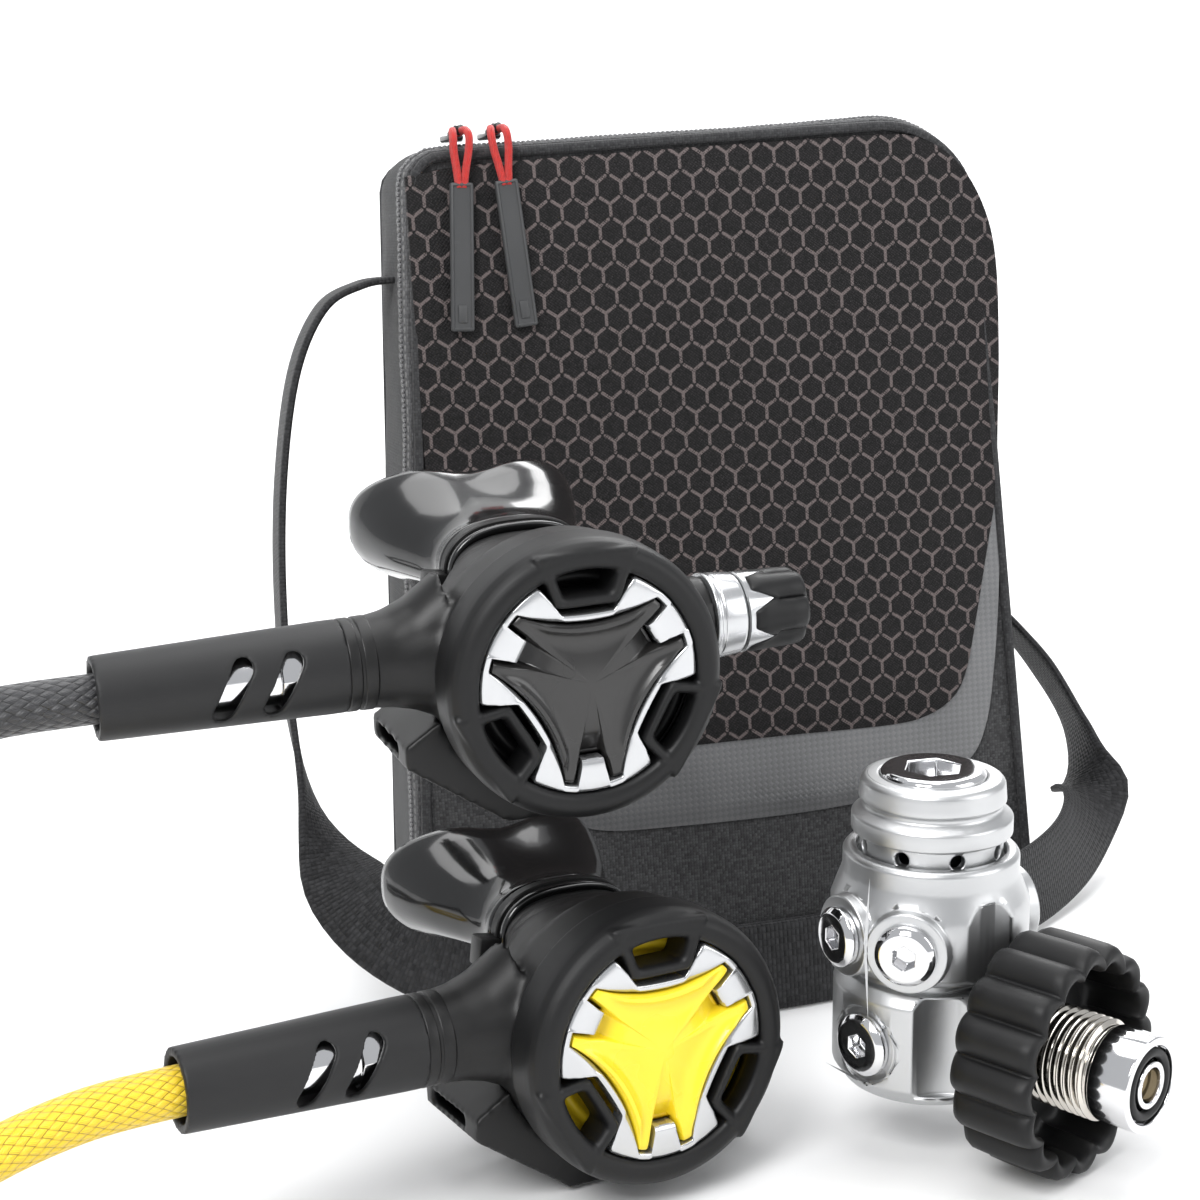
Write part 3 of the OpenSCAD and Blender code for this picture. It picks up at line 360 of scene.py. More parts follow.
def finish_set():
    """Every finish of the set by name."""
    kit = {}
    kit["pack_cloth"] = pack_cloth("Dark grey pack cloth", (0.012, 0.012, 0.0125), (0.07, 0.07, 0.072))
    kit["lattice"] = lattice_cloth("Black lattice cloth")
    kit["film"] = film("Grey reflective film")
    kit["tape"] = pack_cloth("Grey zip tape", (0.03, 0.03, 0.031), (0.13, 0.13, 0.134), 0.0011, 0.0002, 0.5)
    kit["coil"] = moulded("Grey nylon zip coil", (0.09, 0.09, 0.092), (0.16, 0.16, 0.165), (0.35, 0.45))
    kit["thread"] = moulded("Grey sewing thread", (0.1, 0.1, 0.1), (0.22, 0.22, 0.22), (0.5, 0.6))
    kit["piping"] = pack_cloth("Dark piping", (0.012, 0.012, 0.013), (0.055, 0.055, 0.057), 0.0008, 0.00012)
    kit["webbing"] = pack_cloth("Black ribbed webbing", (0.004, 0.004, 0.0045), (0.034, 0.034, 0.036), 0.0012, 0.0003, 1.6, 0.6)
    kit["slider"] = moulded("Black lacquered slider", (0.008, 0.008, 0.009), (0.02, 0.02, 0.02), (0.25, 0.35), coat=0.4)
    kit["red_cord"] = braid_cloth("Red cord", (0.35, 0.005, 0.003), (0.85, 0.02, 0.012))
    kit["dark_cord"] = braid_cloth("Black cord", (0.004, 0.004, 0.004), (0.03, 0.03, 0.032))
    kit["tab"] = moulded("Grey pull tab", (0.03, 0.031, 0.032), (0.055, 0.056, 0.058), (0.45, 0.6), grain=3000.0)
    kit["satin"] = moulded("Satin pearl plating", (0.50, 0.505, 0.51), (0.58, 0.585, 0.59), (0.34, 0.42), 1.0,
                           grain=5200.0, depth=0.000006, scuff=0.08)
    kit["bright"] = moulded("Bright chrome", (0.66, 0.66, 0.67), (0.80, 0.80, 0.81), (0.05, 0.12), 1.0,
                            grain=900.0, depth=0.000001, scuff=0.1)
    kit["nickel"] = moulded("Bright nickel thread", (0.58, 0.55, 0.50), (0.72, 0.68, 0.62), (0.1, 0.18), 1.0,
                            grain=900.0, depth=0.000001, scuff=0.2)
    kit["steel"] = moulded("Drawn spring wire", (0.4, 0.4, 0.41), (0.55, 0.55, 0.57), (0.2, 0.35), 1.0, depth=0.000004)
    kit["brass"] = moulded("Machined brass", (0.55, 0.42, 0.18), (0.72, 0.58, 0.3), (0.2, 0.3), 1.0, depth=0.000004)
    kit["sinter"] = moulded("Sintered filter", (0.2, 0.15, 0.08), (0.42, 0.33, 0.18), (0.55, 0.7), 0.8,
                            grain=3000.0, depth=0.0002)
    kit["rubber"] = moulded("Black soft rubber", (0.004, 0.004, 0.0042), (0.0085, 0.0085, 0.009), (0.42, 0.52),
                            grain=2600.0, depth=0.00002, scuff=0.03, specular=0.3)
    kit["plastic"] = moulded("Black moulded plastic", (0.005, 0.005, 0.0052), (0.0105, 0.0102, 0.0102), (0.36, 0.46),
                             grain=3200.0, depth=0.000028, scuff=0.03, specular=0.32)
    kit["silicone"] = moulded("Glossy black silicone", (0.003, 0.003, 0.0032), (0.006, 0.006, 0.0062), (0.13, 0.2),
                              coat=0.5, coat_rough=0.06, grain=300.0, depth=0.00001, scuff=0.0)
    kit["trim"] = moulded("Satin silver lacquer", (0.50, 0.505, 0.515), (0.60, 0.605, 0.615), (0.2, 0.27), 0.85,
                          coat=0.3, grain=6000.0, depth=0.000003, scuff=0.03)
    kit["charcoal"] = moulded("Satin charcoal lacquer", (0.014, 0.0135, 0.0132), (0.024, 0.023, 0.0225), (0.24, 0.32),
                              0.25, coat=0.35, coat_rough=0.2, grain=6000.0, depth=0.000004, scuff=0.03)
    kit["yellow"] = moulded("Satin yellow plastic", (0.83, 0.60, 0.012), (0.90, 0.70, 0.03), (0.25, 0.33),
                            coat=0.3, coat_rough=0.15, grain=6000.0, depth=0.000004, scuff=0.02)
    kit["yellow_rubber"] = moulded("Yellow silicone", (0.72, 0.50, 0.01), (0.85, 0.62, 0.02), (0.35, 0.45), scuff=0.0)
    kit["sleeve"] = moulded("Dark grey hose sleeve", (0.011, 0.011, 0.0115), (0.019, 0.019, 0.0195), (0.45, 0.55),
                            grain=2800.0, depth=0.00002, scuff=0.03, specular=0.3)
    kit["black_braid"] = braid_cloth("Black hose braid", (0.002, 0.002, 0.0022), (0.03, 0.03, 0.033), 0.38)
    kit["yellow_braid"] = braid_cloth("Yellow hose braid", (0.42, 0.24, 0.004), (0.88, 0.62, 0.02), 0.42)
    return kit


KIT = finish_set()


# ---------------------------------------------------------------- mesh helpers

def piece(name, bm, finish, body, stands_for=(), place=ON_SET, sharp=40.0, outward=True, levels=0):
    """Turns a mesh in millimetres into a finished piece that rides on a body."""
    if outward:
        bmesh.ops.recalc_face_normals(bm, faces=bm.faces)
    bm.transform(place)
    mesh = bpy.data.meshes.new(name)
    bm.to_mesh(mesh)
    bm.free()
    mesh.shade_smooth()
    if sharp:
        mesh.set_sharp_from_angle(angle=rad(sharp))
    obj = bpy.data.objects.new(name, mesh)
    bpy.context.scene.collection.objects.link(obj)
    mesh.materials.append(KIT[finish])
    if levels:
        smooth = obj.modifiers.new("Rounding", "SUBSURF")
        smooth.levels = levels
        smooth.render_levels = levels
    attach(obj, body)
    if stands_for:
        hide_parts(*([stands_for] if isinstance(stands_for, str) else stands_for))
    return obj


def spun(profile, steps=96, turn=None, about=(0, 0, 1), arc=360.0, closed=False):
    """A profile of (radius, height) points spun about the local Z axis."""
    bm = bmesh.new()
    verts = [bm.verts.new((r, 0.0, z)) for r, z in profile]
    edges = [bm.edges.new(pair) for pair in zip(verts, verts[1:])]
    if closed:
        edges.append(bm.edges.new((verts[-1], verts[0])))
    bmesh.ops.spin(bm, geom=verts + edges, cent=(0, 0, 0), axis=about, angle=rad(arc), steps=steps,
                   use_merge=arc == 360.0, use_duplicate=False)
    bmesh.ops.remove_doubles(bm, verts=bm.verts, dist=1e-4)
    if turn is not None:
        bm.transform(turn)
    return bm


def rounded(points, r, n=3):
    """Rounds the inner corners of an open profile by a radius, with n steps round each."""
    out = [points[0]]
    for before, here, after in zip(points, points[1:], points[2:]):
        a, b, c = Vector(before), Vector(here), Vector(after)
        reach = min(r, (a - b).length * 0.45, (c - b).length * 0.45)
        p, q = b + (a - b).normalized() * reach, b + (c - b).normalized() * reach
        for i in range(n + 1):
            t = i / n
            out.append(tuple((p * (1 - t) + b * t) * (1 - t) + (b * (1 - t) + q * t) * t))
    return out + [points[-1]]


def resampled(points, gap, closed=False):
    """Points at even spacing along a line."""
    pts = [Vector(p) for p in points] + ([Vector(points[0])] if closed else [])
    lengths = [0.0]
    for a, b in zip(pts, pts[1:]):
        lengths.append(lengths[-1] + (b - a).length)
    count = max(3, round(lengths[-1] / gap))
    out, k = [], 0
    for i in range(count if closed else count + 1):
        want = lengths[-1] * i / count
        while k < len(pts) - 2 and lengths[k + 1] < want:
            k += 1
        share = (want - lengths[k]) / max(1e-9, lengths[k + 1] - lengths[k])
        out.append(pts[k].lerp(pts[k + 1], min(1.0, share)))
    return out


def smooth_line(points, steps=8):
    """Catmull-Rom curve through points."""
    p = [Vector(q) for q in points]
    p = [p[0] * 2 - p[1]] + p + [p[-1] * 2 - p[-2]]
    out = []
    for i in range(1, len(p) - 2):
        for k in range(steps):
            t = k / steps
            out.append(0.5 * (2 * p[i] + (p[i + 1] - p[i - 1]) * t
                              + (2 * p[i - 1] - 5 * p[i] + 4 * p[i + 1] - p[i + 2]) * t * t
                              + (3 * p[i] - p[i - 1] - 3 * p[i + 1] + p[i + 2]) * t ** 3))
    return out + [p[-2]]


def lofted(rings, closed=True, cap=True):
    """Skin through rings of points, each ring extruded from the last; UVs in metres."""
    bm = bmesh.new()
    first = [bm.verts.new(p) for p in rings[0]]
    n = len(first)
    last = n if closed else n - 1
    edges = [bm.edges.new((first[i], first[(i + 1) % n])) for i in range(last)]
    rows = [first]
    for ring in rings[1:]:
        made = bmesh.ops.extrude_edge_only(bm, edges=edges)["geom"]
        fresh = {v for v in made if isinstance(v, bmesh.types.BMVert)}
        row = []
        for v in rows[-1]:
            row.append(next(e.other_vert(v) for e in v.link_edges if e.other_vert(v) in fresh))
        for v, p in zip(row, ring):
            v.co = p
        edges = [bm.edges.get((row[i], row[(i + 1) % n])) for i in range(last)]
        rows.append(row)
    uv = bm.loops.layers.uv.new("UVMap")
    spot = {v: (i, k) for i, row in enumerate(rows) for k, v in enumerate(row)}
    along, around = [0.0], [0.0]
    for a, b in zip(rings, rings[1:]):
        along.append(along[-1] + sum((Vector(q) - Vector(p)).length for p, q in zip(a, b)) / n)
    widest = max(rings, key=lambda ring: sum((Vector(ring[i]) - Vector(ring[i - 1])).length for i in range(1, n)))
    for i in range(1, n + 1):
        around.append(around[-1] + (Vector(widest[i % n]) - Vector(widest[i - 1])).length)
    for face in bm.faces:
        ks = [spot[loop.vert][1] for loop in face.loops]
        for loop in face.loops:
            i, k = spot[loop.vert]
            wraps = closed and k == 0 and max(ks) == n - 1
            loop[uv].uv = (along[i] * MM, around[n if wraps else k] * MM)
    if closed and cap:
        for row in (rows[0], rows[-1]):
            bm.faces.new(row)
    return bm, rows


def frames_along(points, up=(0, 0, 1)):
    """Heading, side and up at each point of a line, carried along without twist."""
    pts = [Vector(p) for p in points]
    out, side = [], None
    for i in range(len(pts)):
        head = (pts[min(i + 1, len(pts) - 1)] - pts[max(i - 1, 0)]).normalized()
        if side is None:
            side = head.cross(Vector(up))
            if side.length < 0.1:
                side = head.cross(Vector((0, 1, 0)))
        side = (side - head * side.dot(head)).normalized()
        out.append((head, side, side.cross(head)))
    return out


def tube(points, r, sides=12, radius_at=None, up=(0, 0, 1)):
    """Tube along points, with UVs of (metres along, turns round)."""
    rings = []
    for i, (p, (_, side, top)) in enumerate(zip(points, frames_along(points, up))):
        size = r if radius_at is None else radius_at(i / (len(points) - 1))
        rings.append([Vector(p) + (side * math.cos(2 * math.pi * k / sides) + top * math.sin(2 * math.pi * k / sides)) * size
                      for k in range(sides)])
    bm, rows = lofted(rings)
    uv = bm.loops.layers.uv.active
    scale = max(loop[uv].uv.y for face in bm.faces for loop in face.loops)
    for face in bm.faces:
        for loop in face.loops:
            loop[uv].uv.y /= scale
    return bm


# ---------------------------------------------------------------- camera

def aim_camera():
    """Camera in front of the set, a little to the left and above, looking slightly down."""
    azimuth, pitch, roll, focal = rad(12), rad(9.5), rad(4), 66.0
    view = Vector((math.sin(azimuth) * math.cos(pitch), math.cos(azimuth) * math.cos(pitch), -math.sin(pitch)))
    level = Vector((math.cos(azimuth), -math.sin(azimuth), 0))
    above = level.cross(view)
    right = level * math.cos(roll) - above * math.sin(roll)
    above = above * math.cos(roll) + level * math.sin(roll)
    camera = bpy.data.objects.new("Camera", bpy.data.cameras.new("Camera"))
    camera.data.lens = focal
    camera.data.sensor_width = 36.0
    camera.data.clip_start = 0.01
    turn = Matrix((right, above, -view)).transposed().to_4x4()
    spot = (Vector((-166.8, -633.0, 217.0)) - ORIGIN) * MM
    camera.matrix_world = Matrix.Translation(spot) @ turn
    bpy.context.scene.collection.objects.link(camera)
    bpy.context.scene.camera = camera


aim_camera()


# ---------------------------------------------------------------- hoses

HOSE_R = 5.5


def coil_turns(centre, start, sweep, radius_at, height_at, step=4.0):
    """Points round a coil: sweep degrees from a start angle, negative for clockwise."""
    count = int(abs(sweep) / step)
    out = []
    for i in range(1, count + 1):
        t = abs(sweep) * i / count
        a = rad(start + math.copysign(t, sweep))
        out.append((centre[0] + radius_at(t) * math.cos(a), centre[1] + radius_at(t) * math.sin(a), height_at(t)))
    return out


def ease(value, low, high, a, b):
    t = min(1.0, max(0.0, (value - low) / (high - low)))
    return a + (b - a) * t * t * (3 - 2 * t)


FLAT_Z, RIDE_Z = 6.0, 19.78
primary_route = [
    (-159, -159.5, 126.7), (-178, -162.2, 126.7), (-200, -165, 126.2), (-222, -167, 122),
    (-241, -167, 113), (-257, -164, 100), (-270, -157, 84), (-279, -146, 67), (-285, -131, 50),
    (-288, -113, 34.5), (-289, -93, 21.5), (-289, -71, 12.5), (-289, -48, 7.5), (-289, -26, 6),
    (-289, -8, 6)]
octopus_route = [
    (-151, -178, 44.7), (-169.5, -182.8, 45.3), (-190, -188.5, 44.8), (-211, -194.5, 40),
    (-231, -200.5, 31), (-249, -206, 20.5), (-268, -212, 12), (-288, -219, 7.3),
    (-310, -227, 6), (-334, -232, 6)]
primary_coil = coil_turns((-350, -8), 0, 422, lambda t: ease(t, 240, 410, 61, 55),
                          lambda t: ease(t, 245, 345, FLAT_Z, 17.6) + ease(t, 345, 410, 0, RIDE_Z - 17.6))
octopus_coil = coil_turns((-334, -166), -90, -692, lambda t: ease(t, 170, 305, 66, 54.5) + ease(t, 600, 690, 0, 1.5),
                          lambda t: ease(t, 585, 680, FLAT_Z, RIDE_Z))


def hose(device, route, coil, finish, exit_point):
    line = resampled(smooth_line(route, 6)[:-1] + [Vector(p) for p in coil], 2.5)
    obj = piece(device + "_hose_braided", tube(line, HOSE_R, 20), finish, device + "_line",
                (device + "_hose", device + "_coil"), sharp=50.0)
    path = [ON_SET @ Vector(p) for p in line]
    length = sum((b - a).length for a, b in zip(path, path[1:]))
    print("HOSE", device, round(length, 4))
    return obj, path, ON_SET @ Vector(exit_point)


primary_line, primary_path, primary_exit = hose("primary", primary_route, primary_coil, "black_braid", (-178, -162.2, 126.7))
octopus_line, octopus_path, octopus_exit = hose("octopus", octopus_route, octopus_coil, "yellow_braid", (-169.5, -182.8, 45.3))


# ---------------------------------------------------------------- bag

BAG_D = 68.0
BAG_MID = Vector((4.0, 122.0))
CORNERS = [(-83, 10, 10), (88, 13, 13), (62, 213, 30), (-70, 233, 9)]
OUTLINE_COUNT = 216


def outline(inset=0.0):
    """Outline of the bag from the front, drawn in by the inset: evenly spaced (x, z), anticlockwise."""
    raw = []
    for i in range(1440):
        a = rad(i / 4)
        x, z, r = max(CORNERS, key=lambda c: c[0] * math.cos(a) + c[1] * math.sin(a) + c[2])
        raw.append(Vector((x + (r - inset) * math.cos(a), z + (r - inset) * math.sin(a))))
    gap = sum((b - a).length for a, b in zip(raw, raw[1:] + raw[:1])) / OUTLINE_COUNT
    return resampled(raw, gap, closed=True)[:OUTLINE_COUNT]


EDGE = outline()
OUTWARD = []
for i, here in enumerate(EDGE):
    run = EDGE[(i + 2) % len(EDGE)] - EDGE[i - 2]
    OUTWARD.append(Vector((run.y, -run.x)).normalized())


def front_y(x, z):
    """How far the cloth of the front stands forward at a point: crowned, with soft dents."""
    u, w = (x - 4.0) / 94.0, (z - 122.0) / 122.0
    crown = max(0.0, 1 - u ** 4) * max(0.0, 1 - w ** 4)
    dents = noise.noise(Vector((x * 0.017, z * 0.013, 3.1))) * 1.5 + noise.noise(Vector((x * 0.045, z * 0.04, 8.2))) * 0.35
    return -1.9 * crown - dents * crown ** 0.5


def gusset_out(i, v):
    """How far the side bulges at outline point i, v from 0 at the front seam to 1 at the back."""
    x, z = EDGE[i]
    swell = math.sin(math.pi * v) ** 0.8
    free = min(1.0, max(0.0, z - 4.0) / 40.0)
    side = 3.4 if OUTWARD[i].x > 0.3 else 2.2
    top = 1.2 if OUTWARD[i].y > 0.6 else side
    ripple = noise.noise(Vector((x * 0.03, z * 0.035, v * 2.4))) * 1.6 + noise.noise(Vector((x * 0.11, z * 0.1, v * 5.0))) * 0.4
    return (top * swell + ripple * swell) * free


def bag_shell():
    rings = []
    for s in (0.02, 0.15, 0.3, 0.45, 0.6, 0.74, 0.86, 0.945, 0.985):
        ring = [BAG_MID + (p - BAG_MID) * s for p in EDGE]
        rings.append([(p.x, front_y(p.x, p.y) + 0.4, p.y) for p in ring])
    steps = 22
    for k in range(steps + 1):
        v = k / steps
        y = BAG_D * v
        fold = 2.2 * (1 - min(1.0, min(y, BAG_D - y) / 2.4)) ** 2
        ring = []
        for i, p in enumerate(EDGE):
            q = p + OUTWARD[i] * (gusset_out(i, v) - fold)
            ring.append((q.x, y, max(0.0, q.y)))
        rings.append(ring)
    for s in (0.985, 0.93, 0.8, 0.62, 0.4, 0.2, 0.02):
        ring = [BAG_MID + (p - BAG_MID) * s for p in EDGE]
        bulge = [1.0 * (1 - s ** 3) + 1.2 * noise.noise(Vector((p.x * 0.02, p.y * 0.018, 11.0))) * (1 - s) for p in ring]
        rings.append([(p.x, BAG_D + b, p.y) for p, b in zip(ring, bulge)])
    bm, rows = lofted([[Vector(p) for p in ring] for ring in rings])
    uv = bm.loops.layers.uv.active
    bm.normal_update()
    for face in bm.faces:
        if abs(face.normal.y) > 0.6:
            for loop in face.loops:
                loop[uv].uv = (loop.vert.co.x * MM, loop.vert.co.z * MM)
    return piece("bag_shell", bm, "pack_cloth", "bag", "bag_body", sharp=0, levels=1)


def flat_patch(name, border, finish, rise, stands_for=(), steps=9, thick=0.9):
    """Cloth or film laid on the bag's front inside a border of (x, z), with its edge turned down."""
    pts = resampled(smooth_line([(x, z, 0) for x, z in border] + [(*border[0], 0)], 6)[:-1], 3.0, closed=True)
    pts = [Vector((p.x, p.y)) for p in pts]
    mid = sum(pts, Vector((0, 0))) / len(pts)
    rings = [[Vector((p.x, front_y(p.x, p.y) + 0.6, p.y)) for p in pts]]
    for inset, lift in ((0.0, rise - thick), (0.15, rise - 0.25), (0.7, rise)):
        ring = []
        for i, p in enumerate(pts):
            run = pts[(i + 1) % len(pts)] - pts[i - 1]
            q = p - Vector((run.y, -run.x)).normalized() * inset
            ring.append(Vector((q.x, front_y(q.x, q.y) - lift, q.y)))
        rings.append(ring)
    edge = [Vector((p.x, p.z)) for p in rings[-1]]
    for k in range(1, steps + 1):
        s = 1 - (k / steps) * 0.985
        ring = [mid + (p - mid) * s for p in edge]
        rings.append([Vector((p.x, front_y(p.x, p.y) - rise, p.y)) for p in ring])
    bm, rows = lofted(rings)
    uv = bm.loops.layers.uv.active
    for face in bm.faces:
        for loop in face.loops:
            loop[uv].uv = (loop.vert.co.x * MM, loop.vert.co.z * MM)
    return piece(name, bm, finish, "bag", stands_for, sharp=35)


def bag_front():
    left = [(-80.5, 236), (-81, 205), (-81.5, 160), (-82, 110), (-82.5, 64)]
    bottom = [(-60, 62.6), (-24, 61.8), (20, 61.4), (56, 60.6), (69, 62.5), (77.5, 67.5), (82, 76)]
    right = [(86, 92), (90.5, 112), (94.5, 131), (95.8, 150), (97.2, 175), (97.2, 200), (94, 216)]
    top = [(86, 230), (74, 238), (60, 239.6), (20, 239.4), (-30, 238.8), (-62, 238)]
    flat_patch("bag_lattice_panel", left + bottom + right + top, "lattice", 1.5, "bag_front")
    band = [(-64, 62.0), (-56, 52), (-47, 43.5), (-36, 38.4), (-10, 37), (31, 36.6), (58, 38.2), (72, 41.4),
            (83, 47.5), (88.2, 58), (91, 72), (93.4, 91), (95.2, 114), (96, 131.5),
            (94.2, 128), (90, 110), (85.6, 91), (81.2, 76), (76.8, 68), (68, 63), (56, 61.2), (20, 62), (-24, 62.4), (-50, 63)]
    rings = []
    half = len(band) // 2
    outer = resampled(smooth_line([(x, z, 0) for x, z in band[:14]], 6), 2.4)
    inner = list(reversed(resampled(smooth_line([(x, z, 0) for x, z in band[13:] + [band[0]]], 6), 2.4)))
    count = 110
    for i in range(count + 1):
        a = outer[min(len(outer) - 1, round(i * (len(outer) - 1) / count))]
        b = inner[min(len(inner) - 1, round(i * (len(inner) - 1) / count))]
        ring = []
        for t, lift in ((0.0, -0.5), (0.0, 0.5), (0.03, 0.72), (0.25, 0.75), (0.5, 0.75), (0.75, 0.75), (0.97, 0.72), (1.0, 0.5), (1.0, -0.5)):
            q = a.lerp(b, t)
            ring.append(Vector((q.x, front_y(q.x, q.y) - lift, q.y)))
        rings.append(ring)
    bm, rows = lofted(rings, closed=False)
    uv = bm.loops.layers.uv.active
    for face in bm.faces:
        for loop in face.loops:
            loop[uv].uv = (loop.vert.co.x * MM, loop.vert.co.z * MM)
    piece("bag_film_band", bm, "film", "bag", sharp=35)




def bag_seams():
    for name, y, r in (("bag_piping_front", -0.4, 1.5), ("bag_piping_back", BAG_D + 0.2, 1.4)):
        line = [Vector((p.x - o.x * 1.0, y, max(1.5, p.y - o.y * 1.0))) for p, o in zip(EDGE, OUTWARD)]
        rings = []
        sides = 8
        for i, p in enumerate(line):
            o = Vector((OUTWARD[i].x, 0, OUTWARD[i].y))
            rings.append([p + (o * math.cos(2 * math.pi * k / sides) + Vector((0, 1, 0)) * math.sin(2 * math.pi * k / sides)) * r
                          for k in range(sides)])
        bm, rows = lofted(rings + [rings[0]], cap=False)
        bmesh.ops.remove_doubles(bm, verts=bm.verts, dist=0.001)
        piece(name, bm, "piping", "bag", sharp=0)


def zip_places(y):
    """Frames along the zip at a depth: where it is, which way it runs, and which way is out."""
    n = len(EDGE)
    start = min(range(n), key=lambda i: abs(EDGE[i].y - 22) + (300 if EDGE[i].x > 0 else 0))
    out, i = [], start
    while True:
        v = y / BAG_D
        out.append((Vector((EDGE[i].x, y, EDGE[i].y)) + Vector((OUTWARD[i].x, 0, OUTWARD[i].y)) * gusset_out(i, v),
                    Vector((OUTWARD[i].x, 0, OUTWARD[i].y))))
        i = (i - 1) % n
        if EDGE[i].x > 60 and EDGE[i].y < 122:
            return out


def bag_zip():
    rows = {y: zip_places(y) for y in (2.6, 3.2, 5.6, 8.0, 8.2, 9.0, 11.4, 13.8, 14.4)}
    count = len(rows[3.2])
    rings = []
    for i in range(count):
        ring = []
        for y, lift in ((2.6, -0.6), (2.6, 0.6), (3.2, 0.95), (5.6, 1.05), (8.0, 1.15), (8.2, 0.5), (9.0, 0.5), (9.0, 1.15),
                        (11.4, 1.05), (13.8, 0.95), (14.4, 0.6), (14.4, -0.6)):
            p, out = rows[y][i]
            ring.append(p + out * lift)
        rings.append(ring)
    bm, made = lofted(rings, closed=False)
    piece("bag_zip_tape", bm, "tape", "bag", "bag_zip", sharp=50)
    bars = bmesh.new()
    line = rows[8.2]
    pts = [p + out * 1.2 for p, out in line]
    spaced = resampled(pts, 1.45)
    for k, p in enumerate(spaced[1:-1]):
        near = min(range(len(pts)), key=lambda j: (pts[j] - p).length_squared)
        out = line[near][1]
        head = Vector((-out.z, 0, out.x))
        turn = Matrix((head * 0.62, Vector((0, 1.75, 0.0)) + head * 0.2, out * 0.62)).transposed().to_4x4()
        bmesh.ops.create_uvsphere(bars, u_segments=6, v_segments=5, radius=1.0,
                                  matrix=Matrix.Translation(p + Vector((0, 0.4, 0))) @ turn)
    piece("bag_zip_coil", bars, "coil", "bag", sharp=0)
    seams = bmesh.new()
    for y in (4.3, 5.1, 11.9, 12.7):
        src = zip_places(y)
        pts = [p + out * 1.05 for p, out in src]
        spaced = resampled(pts, 2.6)
        for p, q in zip(spaced, spaced[1:]):
            near = min(range(len(pts)), key=lambda j: (pts[j] - p).length_squared)
            out = src[near][1]
            head = (q - p).normalized()
            turn = Matrix((head * 1.05, out.cross(head) * 0.24, out * 0.22)).transposed().to_4x4()
            bmesh.ops.create_uvsphere(seams, u_segments=5, v_segments=4, radius=1.0,
                                      matrix=Matrix.Translation((p + q) / 2) @ turn)
    piece("bag_zip_stitching", seams, "thread", "bag", sharp=0)


STRAP_ROUTE = [
    (-81.5, 34, 207, 0), (-92, 34, 206, 0), (-104, 33, 200, 0), (-114, 31, 182, 0),
    (-121, 27, 152, 0), (-125, 20, 118, 5), (-126, 8, 84, 15), (-122, -8, 52, 35),
    (-110, -28, 28, 60), (-88, -48, 16, 85), (-58, -62, 13, 90), (-22, -69, 13, 90),
    (16, -68, 13, 90), (52, -56, 13, 90), (86, -36, 14, 85), (112, -12, 18, 70),
    (126, 8, 28, 40), (128, 20, 46, 15), (120, 27, 66, 0), (109, 31, 82, 0), (98, 33, 94, 0)]


def ribbon(route, width, thick, gap=3.0):
    """Webbing along a route whose fourth value is the turn of its width from Y towards Z."""
    line = smooth_line([p[:3] for p in route], 8)
    turns = smooth_line([(p[3], 0, 0) for p in route], 8)
    rings = []
    for i, p in enumerate(line):
        head = (line[min(i + 1, len(line) - 1)] - line[max(i - 1, 0)]).normalized()
        a = rad(turns[i].x)
        across = Vector((0, math.cos(a), math.sin(a)))
        across = (across - head * across.dot(head)).normalized()
        out = head.cross(across)
        w, t = width / 2, thick / 2
        section = [(-w, 0.35 * t), (-w + 0.7, t), (-w / 2, t * 0.9), (0, t), (w / 2, t * 0.9), (w - 0.7, t), (w, 0.35 * t),
                   (w, -0.35 * t), (w - 0.7, -t), (w / 2, -t * 0.9), (0, -t), (-w / 2, -t * 0.9), (-w + 0.7, -t), (-w, -0.35 * t)]
        rings.append([p + across * s + out * h for s, h in section])
    return lofted(rings)


def bag_strap():
    bm, rows = ribbon(STRAP_ROUTE, 25, 2)
    piece("bag_strap_webbing", bm, "webbing", "bag", "bag_strap", sharp=45)


